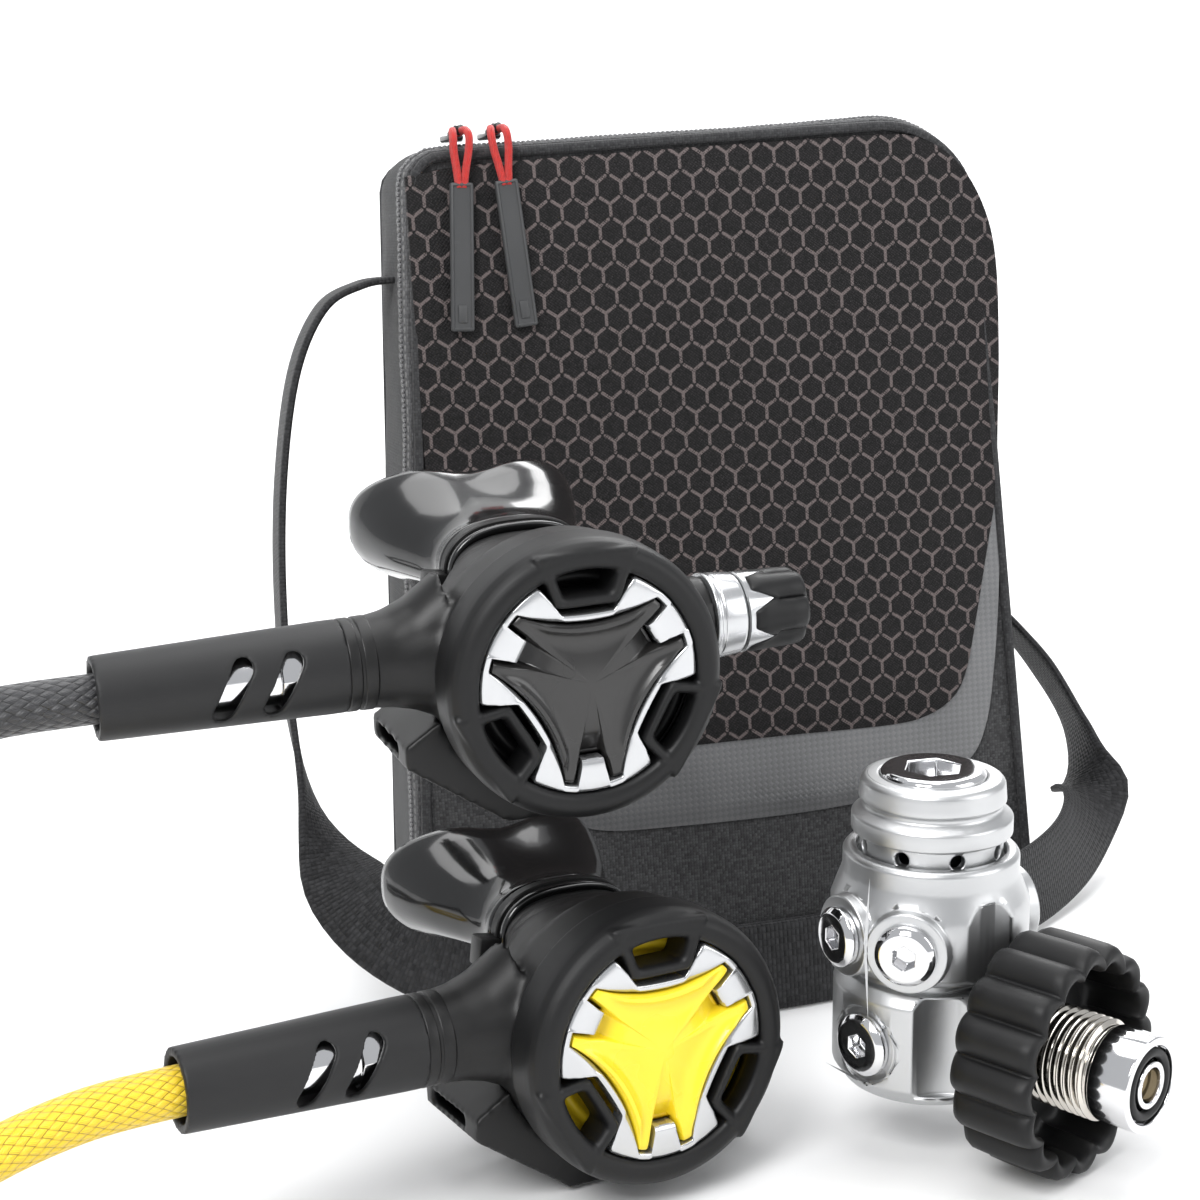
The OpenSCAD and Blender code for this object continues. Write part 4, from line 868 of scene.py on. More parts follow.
def zip_pull(side, x, lean):
    """Slider, knotted cord, red loop and rubber tab of one zip pull."""
    z = 245.0
    body = "zip_slider_" + side
    bm = bmesh.new()
    bmesh.ops.create_cube(bm, size=1.0, matrix=Matrix.Translation((x, 9.0, z + 1.25)) @ Matrix.Diagonal((7, 9.4, 2.0, 1)))
    ends = [v for v in bm.verts if v.co.y < 9]
    bmesh.ops.scale(bm, verts=ends, vec=(0.6, 1, 0.8), space=Matrix.Translation((-x, -9, -z - 1.25)))
    bmesh.ops.bevel(bm, geom=bm.edges[:], offset=0.7, segments=3, profile=0.5, affect="EDGES", material=-1, clamp_overlap=True)
    arch = tube([Vector((x, 9 + 3.4 * math.cos(rad(a)), z + 1.9 + 1.9 * math.sin(rad(a)))) for a in range(0, 181, 15)], 0.7, 8)
    keep = bpy.data.meshes.new("slider_arch")
    arch.to_mesh(keep)
    arch.free()
    bm.from_mesh(keep)
    bpy.data.meshes.remove(keep)
    piece(body + "_body", bm, "slider", body, body, sharp=50)
    body = "zip_pull_" + side
    hang = Vector((x, 3.2 - 7.8, z + 1.2))
    tilt = Matrix.Translation(hang) @ Matrix.Rotation(rad(lean), 4, "Y")
    knot = tube([Vector((x + 2.2 * math.sin(rad(a)) * math.cos(rad(a * 0.5)), 3.4 + 2.0 * math.cos(rad(a)), z + 3.1 + 0.9 * math.sin(rad(a * 1.5))))
                 for a in range(0, 721, 20)], 0.85, 8)
    piece(body + "_knot", knot, "dark_cord", body, sharp=0)
    leads = []
    for s in (-1, 1):
        leads += [[Vector((x + s * 0.8, 4.4, z + 2.5)), Vector((x + s * 1.5, 0.5, z + 2.9)), Vector((x + s * 2.0, -2.6, z + 2.6)),
                   Vector((x + s * 2.3, -4.6, z + 0.6)), tilt @ Vector((s * 2.1, 0, -4.5)), tilt @ Vector((s * 1.3, 0, -9.5)),
                   tilt @ Vector((s * 0.7, 0, -14.5))]]
    loop = bmesh.new()
    for lead in leads:
        part = tube(smooth_line(lead, 5), 1.15, 10)
        keep = bpy.data.meshes.new("cord_lead")
        part.to_mesh(keep)
        part.free()
        loop.from_mesh(keep)
        bpy.data.meshes.remove(keep)
    piece(body + "_cord", loop, "red_cord", body, sharp=0)
    tab = bmesh.new()
    shape = Matrix.Translation((0, 0, -34.0)) @ Matrix.Diagonal((6.8, 2.4, 42, 1))
    bmesh.ops.create_cube(tab, size=1.0, matrix=shape)
    bmesh.ops.bevel(tab, geom=tab.edges[:], offset=0.8, segments=3, profile=0.5, affect="EDGES", material=-1, clamp_overlap=True)
    front = [f for f in tab.faces if f.normal.y < -0.9 and f.calc_area() > 40]
    inner = bmesh.ops.inset_region(tab, faces=front, thickness=0.5, depth=0.0)
    bmesh.ops.translate(tab, verts=list({v for f in front for v in f.verts}), vec=(0, 0.35, 0))
    bmesh.ops.transform(tab, matrix=tilt, verts=tab.verts)
    nib = bmesh.new()
    bmesh.ops.create_cube(nib, size=1.0, matrix=tilt @ Matrix.Translation((0, -0.9, -50)) @ Matrix.Diagonal((2.6, 0.8, 5.0, 1)))
    bmesh.ops.bevel(nib, geom=nib.edges[:], offset=0.3, segments=2, profile=0.5, affect="EDGES", material=-1, clamp_overlap=True)
    for part in (nib,):
        keep = bpy.data.meshes.new("tab_nib")
        part.to_mesh(keep)
        part.free()
        tab.from_mesh(keep)
        bpy.data.meshes.remove(keep)
    piece(body + "_tab", tab, "tab", body, body, sharp=40)


bag_shell()
bag_front()
bag_seams()
bag_zip()
bag_strap()
zip_pull("left", -64, 4)
zip_pull("right", -53, -4)


# ---------------------------------------------------------------- reworked CAD shapes

def node_mesh(node):
    """Copy of a CAD node's mesh, merged, in metres."""
    bm = bmesh.new()
    bm.from_mesh(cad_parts[node].data)
    bmesh.ops.remove_doubles(bm, verts=bm.verts, dist=2e-6)
    return bm


def finished(name, bm, finish, body, stands_for, sharp=40.0):
    return piece(name, bm, finish, body, stands_for, place=Matrix.Identity(4), sharp=sharp, outward=False)


def remeshed(bm, voxel, rounds, factor=0.5):
    """One smooth skin over everything in a mesh, with its edges melted by rounds of smoothing."""
    mesh = bpy.data.meshes.new("working_skin")
    bm.to_mesh(mesh)
    bm.free()
    obj = bpy.data.objects.new("working_skin", mesh)
    bpy.context.scene.collection.objects.link(obj)
    skin = obj.modifiers.new("Skin", "REMESH")
    skin.mode = "VOXEL"
    skin.voxel_size = voxel * MM
    melt = obj.modifiers.new("Melt", "SMOOTH")
    melt.factor = factor
    melt.iterations = rounds
    bpy.context.view_layer.update()
    result = bpy.data.meshes.new_from_object(obj.evaluated_get(bpy.context.evaluated_depsgraph_get()))
    out = bmesh.new()
    out.from_mesh(result)
    bpy.data.objects.remove(obj)
    bpy.data.meshes.remove(mesh)
    bpy.data.meshes.remove(result)
    return out


def melted(name, node, finish, body, voxel, rounds, extra=(), sharp=0):
    """CAD node turned into one softly rounded moulding, with extra meshes grown into it."""
    bm = node_mesh(node)
    for part, place in extra:
        bmesh.ops.recalc_face_normals(part, faces=part.faces)
        part.transform(place)
        keep = bpy.data.meshes.new("extra_part")
        part.to_mesh(keep)
        part.free()
        bm.from_mesh(keep)
        bpy.data.meshes.remove(keep)
    return finished(name, remeshed(bm, voxel, rounds), finish, body, node, sharp)


def eased(name, node, finish, body, width=0.3, segments=2, limit=28.0):
    """CAD node with its machined edges eased by a small rounded bevel."""
    bm = node_mesh(node)
    bmesh.ops.dissolve_limit(bm, angle_limit=rad(0.6), verts=bm.verts, edges=bm.edges, delimit={"NORMAL"})
    bmesh.ops.dissolve_degenerate(bm, dist=2e-5, edges=bm.edges)
    edges = [e for e in bm.edges if len(e.link_faces) == 2 and abs(e.calc_face_angle(0.0)) > rad(limit)]
    bmesh.ops.bevel(bm, geom=edges, offset=width * MM, segments=segments, profile=0.5, affect="EDGES",
                    clamp_overlap=False, material=-1, harden_normals=False)
    bmesh.ops.triangulate(bm, faces=[f for f in bm.faces if len(f.verts) > 4])
    return finished(name, bm, finish, body, node, 38)


def joined(parts):
    bm = bmesh.new()
    for part in parts:
        bmesh.ops.recalc_face_normals(part, faces=part.faces)
        keep = bpy.data.meshes.new("joined_part")
        part.to_mesh(keep)
        part.free()
        bm.from_mesh(keep)
        bpy.data.meshes.remove(keep)
    return bm


def oval(half_w, half_h, n=64, power=2.6):
    """Points of a rounded oblong."""
    out = []
    for k in range(n):
        a = 2 * math.pi * k / n
        c, s = math.cos(a), math.sin(a)
        out.append((math.copysign(abs(c) ** (2 / power), c) * half_w, math.copysign(abs(s) ** (2 / power), s) * half_h))
    return out


# ---------------------------------------------------------------- second stages

EARS, TABS = (90, 210, 330), (30, 150, 270)
TIP_R, STAR_D, STAR_R, TAB_IN, SLOT_HALF = 23.0, 51.29, 37.9, 17.0, 10.7


def off_angle(a, b):
    return (a - b + 180) % 360 - 180


def star_limit(angle, grow=0.0):
    """Radius of the purge button's outline at an angle, and how much an ear or a tab shapes it there."""
    r, ear, tab = TIP_R, 0.0, 0.0
    for a in EARS:
        d = rad(off_angle(angle, a))
        if abs(d) < 1.2 and STAR_D * abs(math.sin(d)) < STAR_R:
            here = STAR_D * math.cos(d) - math.sqrt(STAR_R ** 2 - (STAR_D * math.sin(d)) ** 2)
            if here < r:
                r = here
            ear = max(ear, ease(abs(math.degrees(d)), 36, 44, 1, 0))
    for a in TABS:
        d = abs(off_angle(angle, a))
        if d < SLOT_HALF - 2.9 * grow:
            r = min(r, TAB_IN / math.cos(rad(d)))
        tab = max(tab, ease(d, 8.0, 12.5, 1, 0))
    return r + grow, ear, tab


def purge_button(device, finish):
    steps = 360
    levels = [0.0, 0.18, 0.34, 0.48, 0.6, 0.7, 0.78, 0.845, 0.89, 0.925, 0.955, 0.98, 1.0]
    bm = bmesh.new()
    verts = [bm.verts.new((f * 20, 0, 0)) for f in levels] + [bm.verts.new((20, 0, -1)), bm.verts.new((20, 0, -2))]
    edges = [bm.edges.new(pair) for pair in zip(verts, verts[1:])]
    bmesh.ops.spin(bm, geom=verts + edges, cent=(0, 0, 0), axis=(0, 0, 1), angle=rad(360), steps=steps, use_merge=True)
    bmesh.ops.remove_doubles(bm, verts=bm.verts, dist=1e-4)
    for v in bm.verts:
        flat = math.hypot(v.co.x, v.co.y)
        f = flat / 20
        angle = math.degrees(math.atan2(v.co.y, v.co.x)) % 360
        r, ear, tab = star_limit(angle)
        depth = v.co.z
        dome = -0.1 - 2.9 * f ** 1.7
        corner = ease(f, 0.55, 1.0, 0, 1.9)
        ridge = ear * (ease(f, 0.8, 0.9, 0, 1.0) - ease(f, 0.955, 1.0, 0, 0.55))
        scoop = tab * ease(f, 0.62, 1.0, 0, -2.2)
        lip = -0.35 * ease(f, 0.975, 1.0, 0, 1)
        z = dome + corner * (1 - tab) + ridge + scoop + lip
        v.co = (math.cos(rad(angle)) * r * f, math.sin(rad(angle)) * r * f, z if depth > -0.5 else (-4.4 if depth > -1.5 else -5.0))
    rim = [e for e in bm.edges if e.is_boundary]
    bmesh.ops.edgeloop_fill(bm, edges=rim)
    boss = spun(rounded([(0, -8.6), (9, -8.6), (9, -4.0), (0, -4.0)], 0.6), 48)
    place = PLACE[device]
    piece(device + "_purge_button", joined([bm, boss]), finish, device + "_button", device + "_button", place=place, sharp=42)


def trim_ring(device):
    """Silver ring: its outer rim is broken by the ears, its inner rim follows the button with a gap."""
    steps = 360
    bm = bmesh.new()
    profile = [(0.0, -5.0), (0.0, -1.75), (0.06, -1.25), (0.16, -1.0), (0.3, -0.9), (0.5, -0.86), (0.7, -0.9),
               (0.88, -1.0), (0.96, -1.25), (1.0, -1.7), (1.0, -5.0)]
    verts = [bm.verts.new((10 + 10 * t, 0, z)) for t, z in profile]
    edges = [bm.edges.new(pair) for pair in zip(verts, verts[1:] + verts[:1])]
    bmesh.ops.spin(bm, geom=verts + edges, cent=(0, 0, 0), axis=(0, 0, 1), angle=rad(360), steps=steps, use_merge=True)
    bmesh.ops.remove_doubles(bm, verts=bm.verts, dist=1e-4)
    for v in bm.verts:
        t = (math.hypot(v.co.x, v.co.y) - 10) / 10
        angle = math.degrees(math.atan2(v.co.y, v.co.x)) % 360
        inner = star_limit(angle, 0.6)[0]
        outer = 25.2
        for a in EARS:
            d = abs(off_angle(angle, a))
            notch = ease(d, 20.5, 27, 0, 1)
            outer = min(outer, (inner + 1.75) * (1 - notch) + 25.2 * notch)
        inner = min(inner, outer - 1.6)
        r = inner + (outer - inner) * t
        v.co = (math.cos(rad(angle)) * r, math.sin(rad(angle)) * r, v.co.z)
    piece(device + "_trim_ring", bm, "trim", device, device + "_trim", place=PLACE[device], sharp=42)


def front_cover(device):
    """Soft cover: a rounded rim with three raised ears, each round an open window."""
    steps = 288
    profile = [(29.4, -13.2), (31.6, -13.2), (32, -12.6), (32, -6.0), (31.9, -4.0), (31.3, -2.1), (30.3, -0.8), (29.2, -0.1),
               (28.3, 0.1), (27.2, 0.05), (26.2, -0.3), (25.5, -1.2), (25.45, -5.4)]
    bm = bmesh.new()
    verts = [bm.verts.new((r, 0, z)) for r, z in profile]
    edges = [bm.edges.new(pair) for pair in zip(verts, verts[1:] + verts[:1])]
    bmesh.ops.spin(bm, geom=verts + edges, cent=(0, 0, 0), axis=(0, 0, 1), angle=rad(360), steps=steps, use_merge=True)
    bmesh.ops.remove_doubles(bm, verts=bm.verts, dist=1e-4)
    parts = [bm]
    for a in EARS:
        turn = Matrix.Rotation(rad(a), 4, "Z")
        rings = []
        outer = [(17.5, -6.6), (17.5, 6.6), (19.0, 7.8), (26.8, 10.6), (29.6, 10.8), (29.6, -10.8), (26.8, -10.6), (19.0, -7.8)]
        inner = [(19.9, -4.7), (19.9, 4.7), (20.7, 5.6), (26.0, 7.3), (27.2, 6.4), (27.2, -6.4), (26.0, -7.3), (20.7, -5.6)]
        rim = [resampled(smooth_line([(x, y, 0) for x, y in shape] + [(*shape[0], 0)], 6)[:-1], 1.0, closed=True) for shape in (outer, inner)]
        count = 72
        even = []
        for line in rim:
            gap = sum((q - p).length for p, q in zip(line, line[1:] + line[:1])) / count
            even.append(resampled(line, gap, closed=True)[:count])
        heights = ((0.0, -6.0), (0.0, -0.9), (0.12, -0.25), (0.3, 0.1), (0.55, 0.0), (0.8, -0.5), (0.96, -1.3), (1.0, -2.2), (1.0, -9.5))
        for t, z in heights:
            rings.append([p.lerp(q, t) + Vector((0, 0, z)) for p, q in zip(even[0], even[1])])
        ear, rows = lofted(rings + [[p + Vector((0, 0, -9.5)) for p in even[0]]], cap=False)
        bmesh.ops.bridge_loops(ear, edges=[e for e in ear.edges if e.is_boundary])
        ear.transform(turn)
        parts.append(ear)
    cover = joined(parts)
    cover.transform(PLACE[device])
    windows = remeshed(cover, 0.42, 4)
    finished(device + "_front_cover", windows, "rubber", device, device + "_cover", 0)


def diaphragm(device, finish):
    profile = [(0, -13.4), (12.5, -13.4), (13.5, -12.9), (15.5, -12.7), (16.5, -11.2), (17.4, -10.6), (18.3, -11.2), (19.2, -11.9),
               (20.2, -11.2), (21.0, -9.9), (22.0, -9.4), (23.0, -9.9), (23.8, -11.0), (24.6, -11.2), (25.4, -10.4), (26.4, -10.0),
               (27.4, -10.6), (28.2, -12.2), (28.2, -13.2), (13, -14.2), (0, -14.2)]
    piece(device + "_ribbed_diaphragm", spun(rounded(profile, 0.5, 2), 96), finish, device, device + "_diaphragm",
          place=PLACE[device], sharp=0)


def case_extras():
    """Flared arm, neck shroud and ribs that grow out of the case."""
    arm = []
    for x, hy, hz, y, z in ((-48.9, 10.1, 10.1, 4, -26), (-44, 10.2, 10.2, 4, -26), (-39, 10.9, 10.4, 4.2, -26), (-34, 12.6, 10.7, 4.7, -25.9),
                            (-29, 15.6, 11.0, 5.4, -25.7), (-26.5, 17.6, 11.1, 5.5, -25.5)):
        arm.append([Vector((x, y + h, z + w)) for h, w in oval(hy, hz, 48, 2.15)])
    for x in (-26.5, -48.9):
        arm.append([Vector((x, AXIS_Y + h, AXIS_Z + w)) for h, w in oval(8.4, 8.4, 48, 2)])
    arm_mesh = lofted(arm + [arm[0]], cap=False)[0]
    neck = []
    for z, hw, hh, y in ((-22, 27, 18.5, 8.4), (-27, 26.6, 18.1, 8.6), (-32, 25, 16.4, 10), (-36.5, 22.4, 14.4, 11.4), (-37, 21.4, 13.6, 11.8),
                         (-41.5, 19.4, 12.2, 13), (-42, 18.4, 11.4, 13.4), (-46, 17.3, 10.8, 14), (-48.5, 15.5, 9.8, 14)):
        neck.append([Vector((x, y + h, z)) for x, h in oval(hw, hh, 56, 2.5)])
    for z in (-48.5, -22):
        neck.append([Vector((x, 14 + h, z)) for x, h in oval(13.9, 8.6, 56, 2.5)])
    neck_mesh = lofted(neck + [neck[0]], cap=False)[0]
    for mesh in (arm_mesh, neck_mesh):
        bmesh.ops.remove_doubles(mesh, verts=mesh.verts, dist=0.01)
    return arm_mesh, neck_mesh


def mouthpiece(device):
    """Glossy silicone mouthpiece: collar, neck that widens to the lips' flange, and two bite tabs."""
    rings = []
    n = 72
    plan = [(-46.6, 16.3, 11.3, 14.0, 2.5, 0), (-46.2, 16.9, 11.9, 14.0, 2.5, 0), (-46.6, 17.5, 12.5, 14.0, 2.5, 0), (-48.4, 17.6, 12.6, 14.0, 2.5, 0), (-49.0, 16.9, 11.9, 14, 2.5, 0),
            (-52.6, 16.9, 11.9, 14, 2.5, 0), (-53.2, 17.6, 12.6, 14.1, 2.5, 0), (-54.6, 17.8, 12.4, 14.2, 2.5, 0), (-57, 17.2, 11.2, 14.6, 2.4, 0),
            (-61, 17.6, 10.4, 15.2, 2.3, 0.05), (-65.5, 20.0, 10.5, 16.0, 2.3, 0.2), (-70, 23.6, 11.2, 17.0, 2.3, 0.45), (-74.5, 26.6, 12.4, 18.0, 2.4, 0.75),
            (-78.5, 28.5, 13.8, 18.8, 2.5, 0.95), (-81.6, 29.3, 14.9, 19.2, 2.6, 1), (-83.6, 29.3, 15.1, 19.3, 2.6, 1), (-84.6, 28.6, 14.5, 19.3, 2.6, 1),
            (-84.4, 26.0, 12.4, 19.2, 2.5, 1), (-83.2, 21.5, 9.6, 18.6, 2.4, 1), (-82.4, 15.5, 7.6, 17.8, 2.3, 0.9), (-81, 12.4, 6.6, 17.2, 2.3, 0.6),
            (-76, 11.6, 6.6, 16.6, 2.3, 0.2), (-66, 11.6, 6.6, 15.5, 2.3, 0), (-52.4, 11.8, 6.8, 14.1, 2.3, 0), (-51.6, 13.4, 8.6, 14, 2.4, 0), (-47, 13.9, 8.9, 14, 2.5, 0)]
    for z, hw, hh, y, power, bend in plan:
        ring = []
        for x, h in oval(hw, hh, n, power):
            dip = 2.6 * bend * math.exp(-(x / 9.0) ** 2) * (1 if h > 0 else -0.8)
            back = bend * (48 - math.sqrt(48 ** 2 - x * x)) * 0.9
            ring.append(Vector((x, y + h - dip * min(1.0, abs(h) / max(hh, 1)), z - back)))
        rings.append(ring)
    bm, rows = lofted(rings + [rings[0]], cap=False)
    bmesh.ops.remove_doubles(bm, verts=bm.verts, dist=0.01)
    parts = [bm]
    for s in (-1, 1):
        for size, spot in (((9.5, 3.2, 17), (s * 17.5, 18.6, -92)), ((9.5, 8.5, 3), (s * 17.5, 18.6, -99))):
            block = bmesh.new()
            bmesh.ops.create_cube(block, size=1.0, matrix=Matrix.Translation(spot) @ Matrix.Diagonal((*size, 1)))
            bmesh.ops.bevel(block, geom=block.edges[:], offset=1.1, segments=3, profile=0.5, affect="EDGES", material=-1, clamp_overlap=True)
            parts.append(block)
    piece(device + "_silicone_mouthpiece", joined(parts), "silicone", device, device + "_mouthpiece", place=PLACE[device], sharp=0)
    tie = []
    for z, grow in ((-49.3, -0.3), (-49.3, 0.85), (-49.6, 1.1), (-52.0, 1.1), (-52.3, 0.85), (-52.3, -0.3)):
        tie.append([Vector((x, 14 + h, z)) for x, h in oval(16.9 + grow, 11.9 + grow, 56, 2.5)])
    band = lofted(tie + [tie[0]], cap=False)[0]
    bmesh.ops.remove_doubles(band, verts=band.verts, dist=0.01)
    lock = bmesh.new()
    bmesh.ops.create_cube(lock, size=1.0, matrix=Matrix.Translation((-20.2, 12.6, -50.8)) @ Matrix.Rotation(rad(-8), 4, "Z") @ Matrix.Diagonal((5.2, 7.2, 6.0, 1)))
    bmesh.ops.bevel(lock, geom=lock.edges[:], offset=0.7, segments=2, profile=0.5, affect="EDGES", material=-1, clamp_overlap=True)
    slot_face = [f for f in lock.faces if f.normal.y < -0.8]
    bmesh.ops.inset_region(lock, faces=slot_face, thickness=1.3, depth=-1.2)
    tail = bmesh.new()
    bmesh.ops.create_cube(tail, size=1.0, matrix=Matrix.Translation((-20.4, 8.4, -50.8)) @ Matrix.Diagonal((1.3, 2.6, 3.4, 1)))
    bmesh.ops.bevel(tail, geom=tail.edges[:], offset=0.25, segments=2, profile=0.5, affect="EDGES", material=-1, clamp_overlap=True)
    piece(device + "_mouth_tie_band", joined([band, lock, tail]), "plastic", device, device + "_mouth_tie", place=PLACE[device], sharp=38)


def petal(angle, count, width):
    """1 at the middle of each of several petals, falling straight to 0 at its edges."""
    return max(0.0, 1 - abs(off_angle(angle * count, 0)) / (width * count))


def knob(device):
    """Fluted knob, whose hub end is notched round the points of a silver ring."""
    n, points = 144, 6

    def ring(x, r, flute=0.0, notch=0.0, sink=0.0):
        out = []
        for k in range(n):
            a = 360 * k / n
            lobe = abs(math.sin(rad(a * points / 2)))
            size = r - flute * (1 - lobe ** 0.6)
            out.append(Vector((x + notch * petal(a, points, 17), AXIS_Y + size * math.cos(rad(a)), AXIS_Z + size * math.sin(rad(a)))))
        return out

    silver = [ring(45.5, 6.5), ring(45.5, 9.3), ring(45.8, 9.6, 0), ring(46.6, 9.45, 0.0, 2.6), ring(47.2, 9.2, 0.0, 5.0),
              ring(47.6, 8.4, 0.0, 5.0), ring(48.0, 6.5)]
    piece(device + "_knob_silver_points", lofted(silver)[0], "trim", "primary_knob", place=PLACE[device], sharp=30)
    black = [ring(47.6, 6.4), ring(46.6, 8.2, 0.1, 3.2), ring(47.4, 9.25, 0.5, 5.2), ring(48.0, 9.75, 0.9, 5.3), ring(50.2, 9.7, 1.5, 3.6),
             ring(53.5, 9.55, 1.9, 1.0), ring(57, 9.5, 1.9), ring(60.2, 9.3, 1.7), ring(61.2, 8.7, 1.4), ring(61.6, 7.8, 1.1), ring(61.4, 6.2, 0.5),
             ring(60.4, 5.4), ring(60.0, 3.2), ring(60.0, 0.4)]
    piece(device + "_knob_grip", lofted(black)[0], "rubber", "primary_knob", "primary_knob", place=PLACE[device], sharp=55)
    collar = spun(rounded([(7, 37.2), (10.3, 37.3), (10.25, 38.2), (9.9, 38.5), (9.9, 39.2), (10.15, 39.6), (9.7, 44.6), (9.3, 45.2), (7, 45.3)], 0.35), 96, ON_AXIS)
    return collar


def swivel_rings(device):
    """Stepped rings where the hose's swivel meets the arm."""
    rings = [(8.8, -49.6), (10.2, -49.6), (10.45, -49.3), (10.45, -47.2), (10.2, -46.9), (10.0, -46.8), (10.0, -46.4), (10.25, -46.3),
             (10.5, -46.0), (10.55, -43.6), (10.3, -43.2), (8.8, -43.2)]
    bm = spun(rounded(rings, 0.15, 2), 96, ON_AXIS, closed=True)
    piece(device + "_swivel_rings", bm, "plastic", device, place=PLACE[device], sharp=35)


PLACE = {"primary": ON_PRIMARY, "octopus": ON_OCTOPUS}
for device, button, skin in (("primary", "charcoal", "rubber"), ("octopus", "yellow", "yellow_rubber")):
    purge_button(device, button)
    trim_ring(device)
    front_cover(device)
    diaphragm(device, skin)
    mouthpiece(device)
    swivel_rings(device)
    arm, neck = case_extras()
    melted(device + "_moulded_case", device + "_case", "plastic", device, 0.85, 5, [(arm, PLACE[device]), (neck, PLACE[device])])
    melted(device + "_moulded_tee", device + "_exhaust_tee", "plastic", device, 0.75, 4)
    melted(device + "_slotted_sleeve", device + "_sleeve", "sleeve", device + "_line", 0.45, 4)
    eased(device + "_hex_swivel", device + "_swivel_nut", "bright", device + "_line", 0.25)
    eased(device + "_thread_fitting", device + "_hose_fitting", "bright", device + "_line", 0.3)
collar = knob("primary")
piece("primary_knob_collar", collar, "trim", "primary", place=ON_PRIMARY, sharp=35)


# ---------------------------------------------------------------- first stage

def handwheel():
    """Hollow rubber handwheel with sixteen rounded lobes, scalloped inside as well."""
    n = 384

    def ring(x, r, lobe=0.0, power=0.8):
        out = []
        for k in range(n):
            a = 360 * k / n
            swell = abs(math.cos(rad(a * 8))) ** power
            size = r - lobe * (1 - swell)
            out.append(Vector((x, size * math.cos(rad(a)), 15.6 + size * math.sin(rad(a)))))
        return out

    rows = [ring(24.2, 10.7), ring(24.0, 12.5), ring(24.0, 22.6, 1.2), ring(24.3, 24.6, 1.9), ring(25.2, 26.0, 2.6), ring(26.8, 26.8, 3.0),
            ring(30, 26.95, 3.2), ring(36, 27.0, 3.3), ring(41.6, 26.95, 3.2), ring(43.6, 26.6, 3.0), ring(44.7, 25.8, 2.8), ring(45.0, 24.9, 2.6),
            ring(44.7, 23.6, 2.2), ring(43.6, 22.9, 2.0), ring(41.5, 22.7, 1.9), ring(34, 22.5, 1.7), ring(31.2, 22.0, 1.4), ring(30.2, 20.8, 0.8),
            ring(30.0, 18.5), ring(30.0, 12.4), ring(29.8, 11.8), ring(29.6, 10.7)]
    bm = lofted(rows + [rows[0]], cap=False)[0]
    bmesh.ops.remove_doubles(bm, verts=bm.verts, dist=0.01)
    piece("din_handwheel_rubber", bm, "rubber", "din_wheel", "din_handwheel", place=ON_FIRST, sharp=0)


def din_thread():
    """Turned thread of the cylinder fitting, cut as one helix between two plain collars."""
    pitch, crest, root = 1.814, 11.455, 10.35
    start, length = 31.6, 18.0
    turns = 9
    bm = bmesh.new()
    section = [(root, 0.0), (root + 0.12, 0.14 * pitch), (crest - 0.1, 0.42 * pitch), (crest, 0.46 * pitch), (crest, 0.54 * pitch),
               (crest - 0.1, 0.58 * pitch), (root + 0.12, 0.86 * pitch), (root, pitch)]
    steps = 64
    verts = [bm.verts.new((r, 0, z)) for r, z in section]
    edges = [bm.edges.new(pair) for pair in zip(verts, verts[1:])]
    bmesh.ops.spin(bm, geom=verts + edges, cent=(0, 0, 0), axis=(0, 0, 1), angle=rad(360 * turns), steps=steps * turns,
                   dvec=(0, 0, pitch / steps), use_merge=False)
    bmesh.ops.remove_doubles(bm, verts=bm.verts, dist=1e-3)
    bm.transform(Matrix.Translation((0, 0, start)))
    far = start + pitch * (turns + 1)
    ends = [spun(rounded([(7.3, start - 7.5), (10.6, start - 7.5), (10.6, start + 1.9), (7.3, start + 1.9)], 0.3), 96, closed=True),
            spun(rounded([(7.3, far - 1.9), (10.4, far - 1.9), (10.4, start + length - 0.1), (7.3, start + length - 0.1)], 0.3), 96, closed=True)]
    whole = joined([bm] + ends)
    whole.transform(Matrix.Translation((0, 0, 15.6)) @ ALONG_X)
    piece("din_thread_cut", whole, "nickel", "din_wheel", "din_thread", place=ON_FIRST, sharp=30)


def din_bolt():
    """Polished retaining bolt: a shank through the wheel, and a nose with the groove for its o-ring."""
    profile = [(2.6, 13.2), (7.9, 13.2), (7.9, 23.2), (7, 23.2), (7, 50.2), (10.9, 50.2), (10.9, 60), (8.9, 60), (8.9, 57.6),
               (5.4, 57.6), (5.4, 60), (4, 60), (4, 54), (2.6, 54)]
    bm = spun(rounded(profile, 0.4, 3), 128, closed=True)
    bm.transform(Matrix.Translation((0, 0, 15.6)) @ ALONG_X)
    piece("din_polished_bolt", bm, "bright", "first_stage", "din_bolt", place=ON_FIRST, sharp=35)


def first_stage_cap():
    """Cap with two waisted flanges and a vented skirt, all turned in one piece."""
    top = 73.6
    eased("fs_turned_cap", "fs_cap", "satin", "first_stage", 0.45, 3)
    ring = spun(rounded([(12.35, top - 0.7), (12.5, top + 0.02), (13.0, top + 0.1), (15.0, top + 0.1), (15.2, top - 0.1)], 0.1), 96)
    piece("fs_cap_inner_ring", ring, "satin", "first_stage", place=ON_FIRST, sharp=35)


handwheel()
din_thread()
eased("fs_turned_body", "fs_body", "satin", "first_stage", 0.5, 3)
first_stage_cap()
eased("fs_adjuster_plug", "fs_adjuster", "bright", "adjuster", 0.35, 3)
eased("fs_blanking_plugs", "fs_port_plugs", "bright", "first_stage", 0.3, 3)
eased("fs_base_plug", "fs_chamber_plug", "satin", "first_stage", 0.3)
din_bolt()


# ---------------------------------------------------------------- nodes that keep their CAD shape

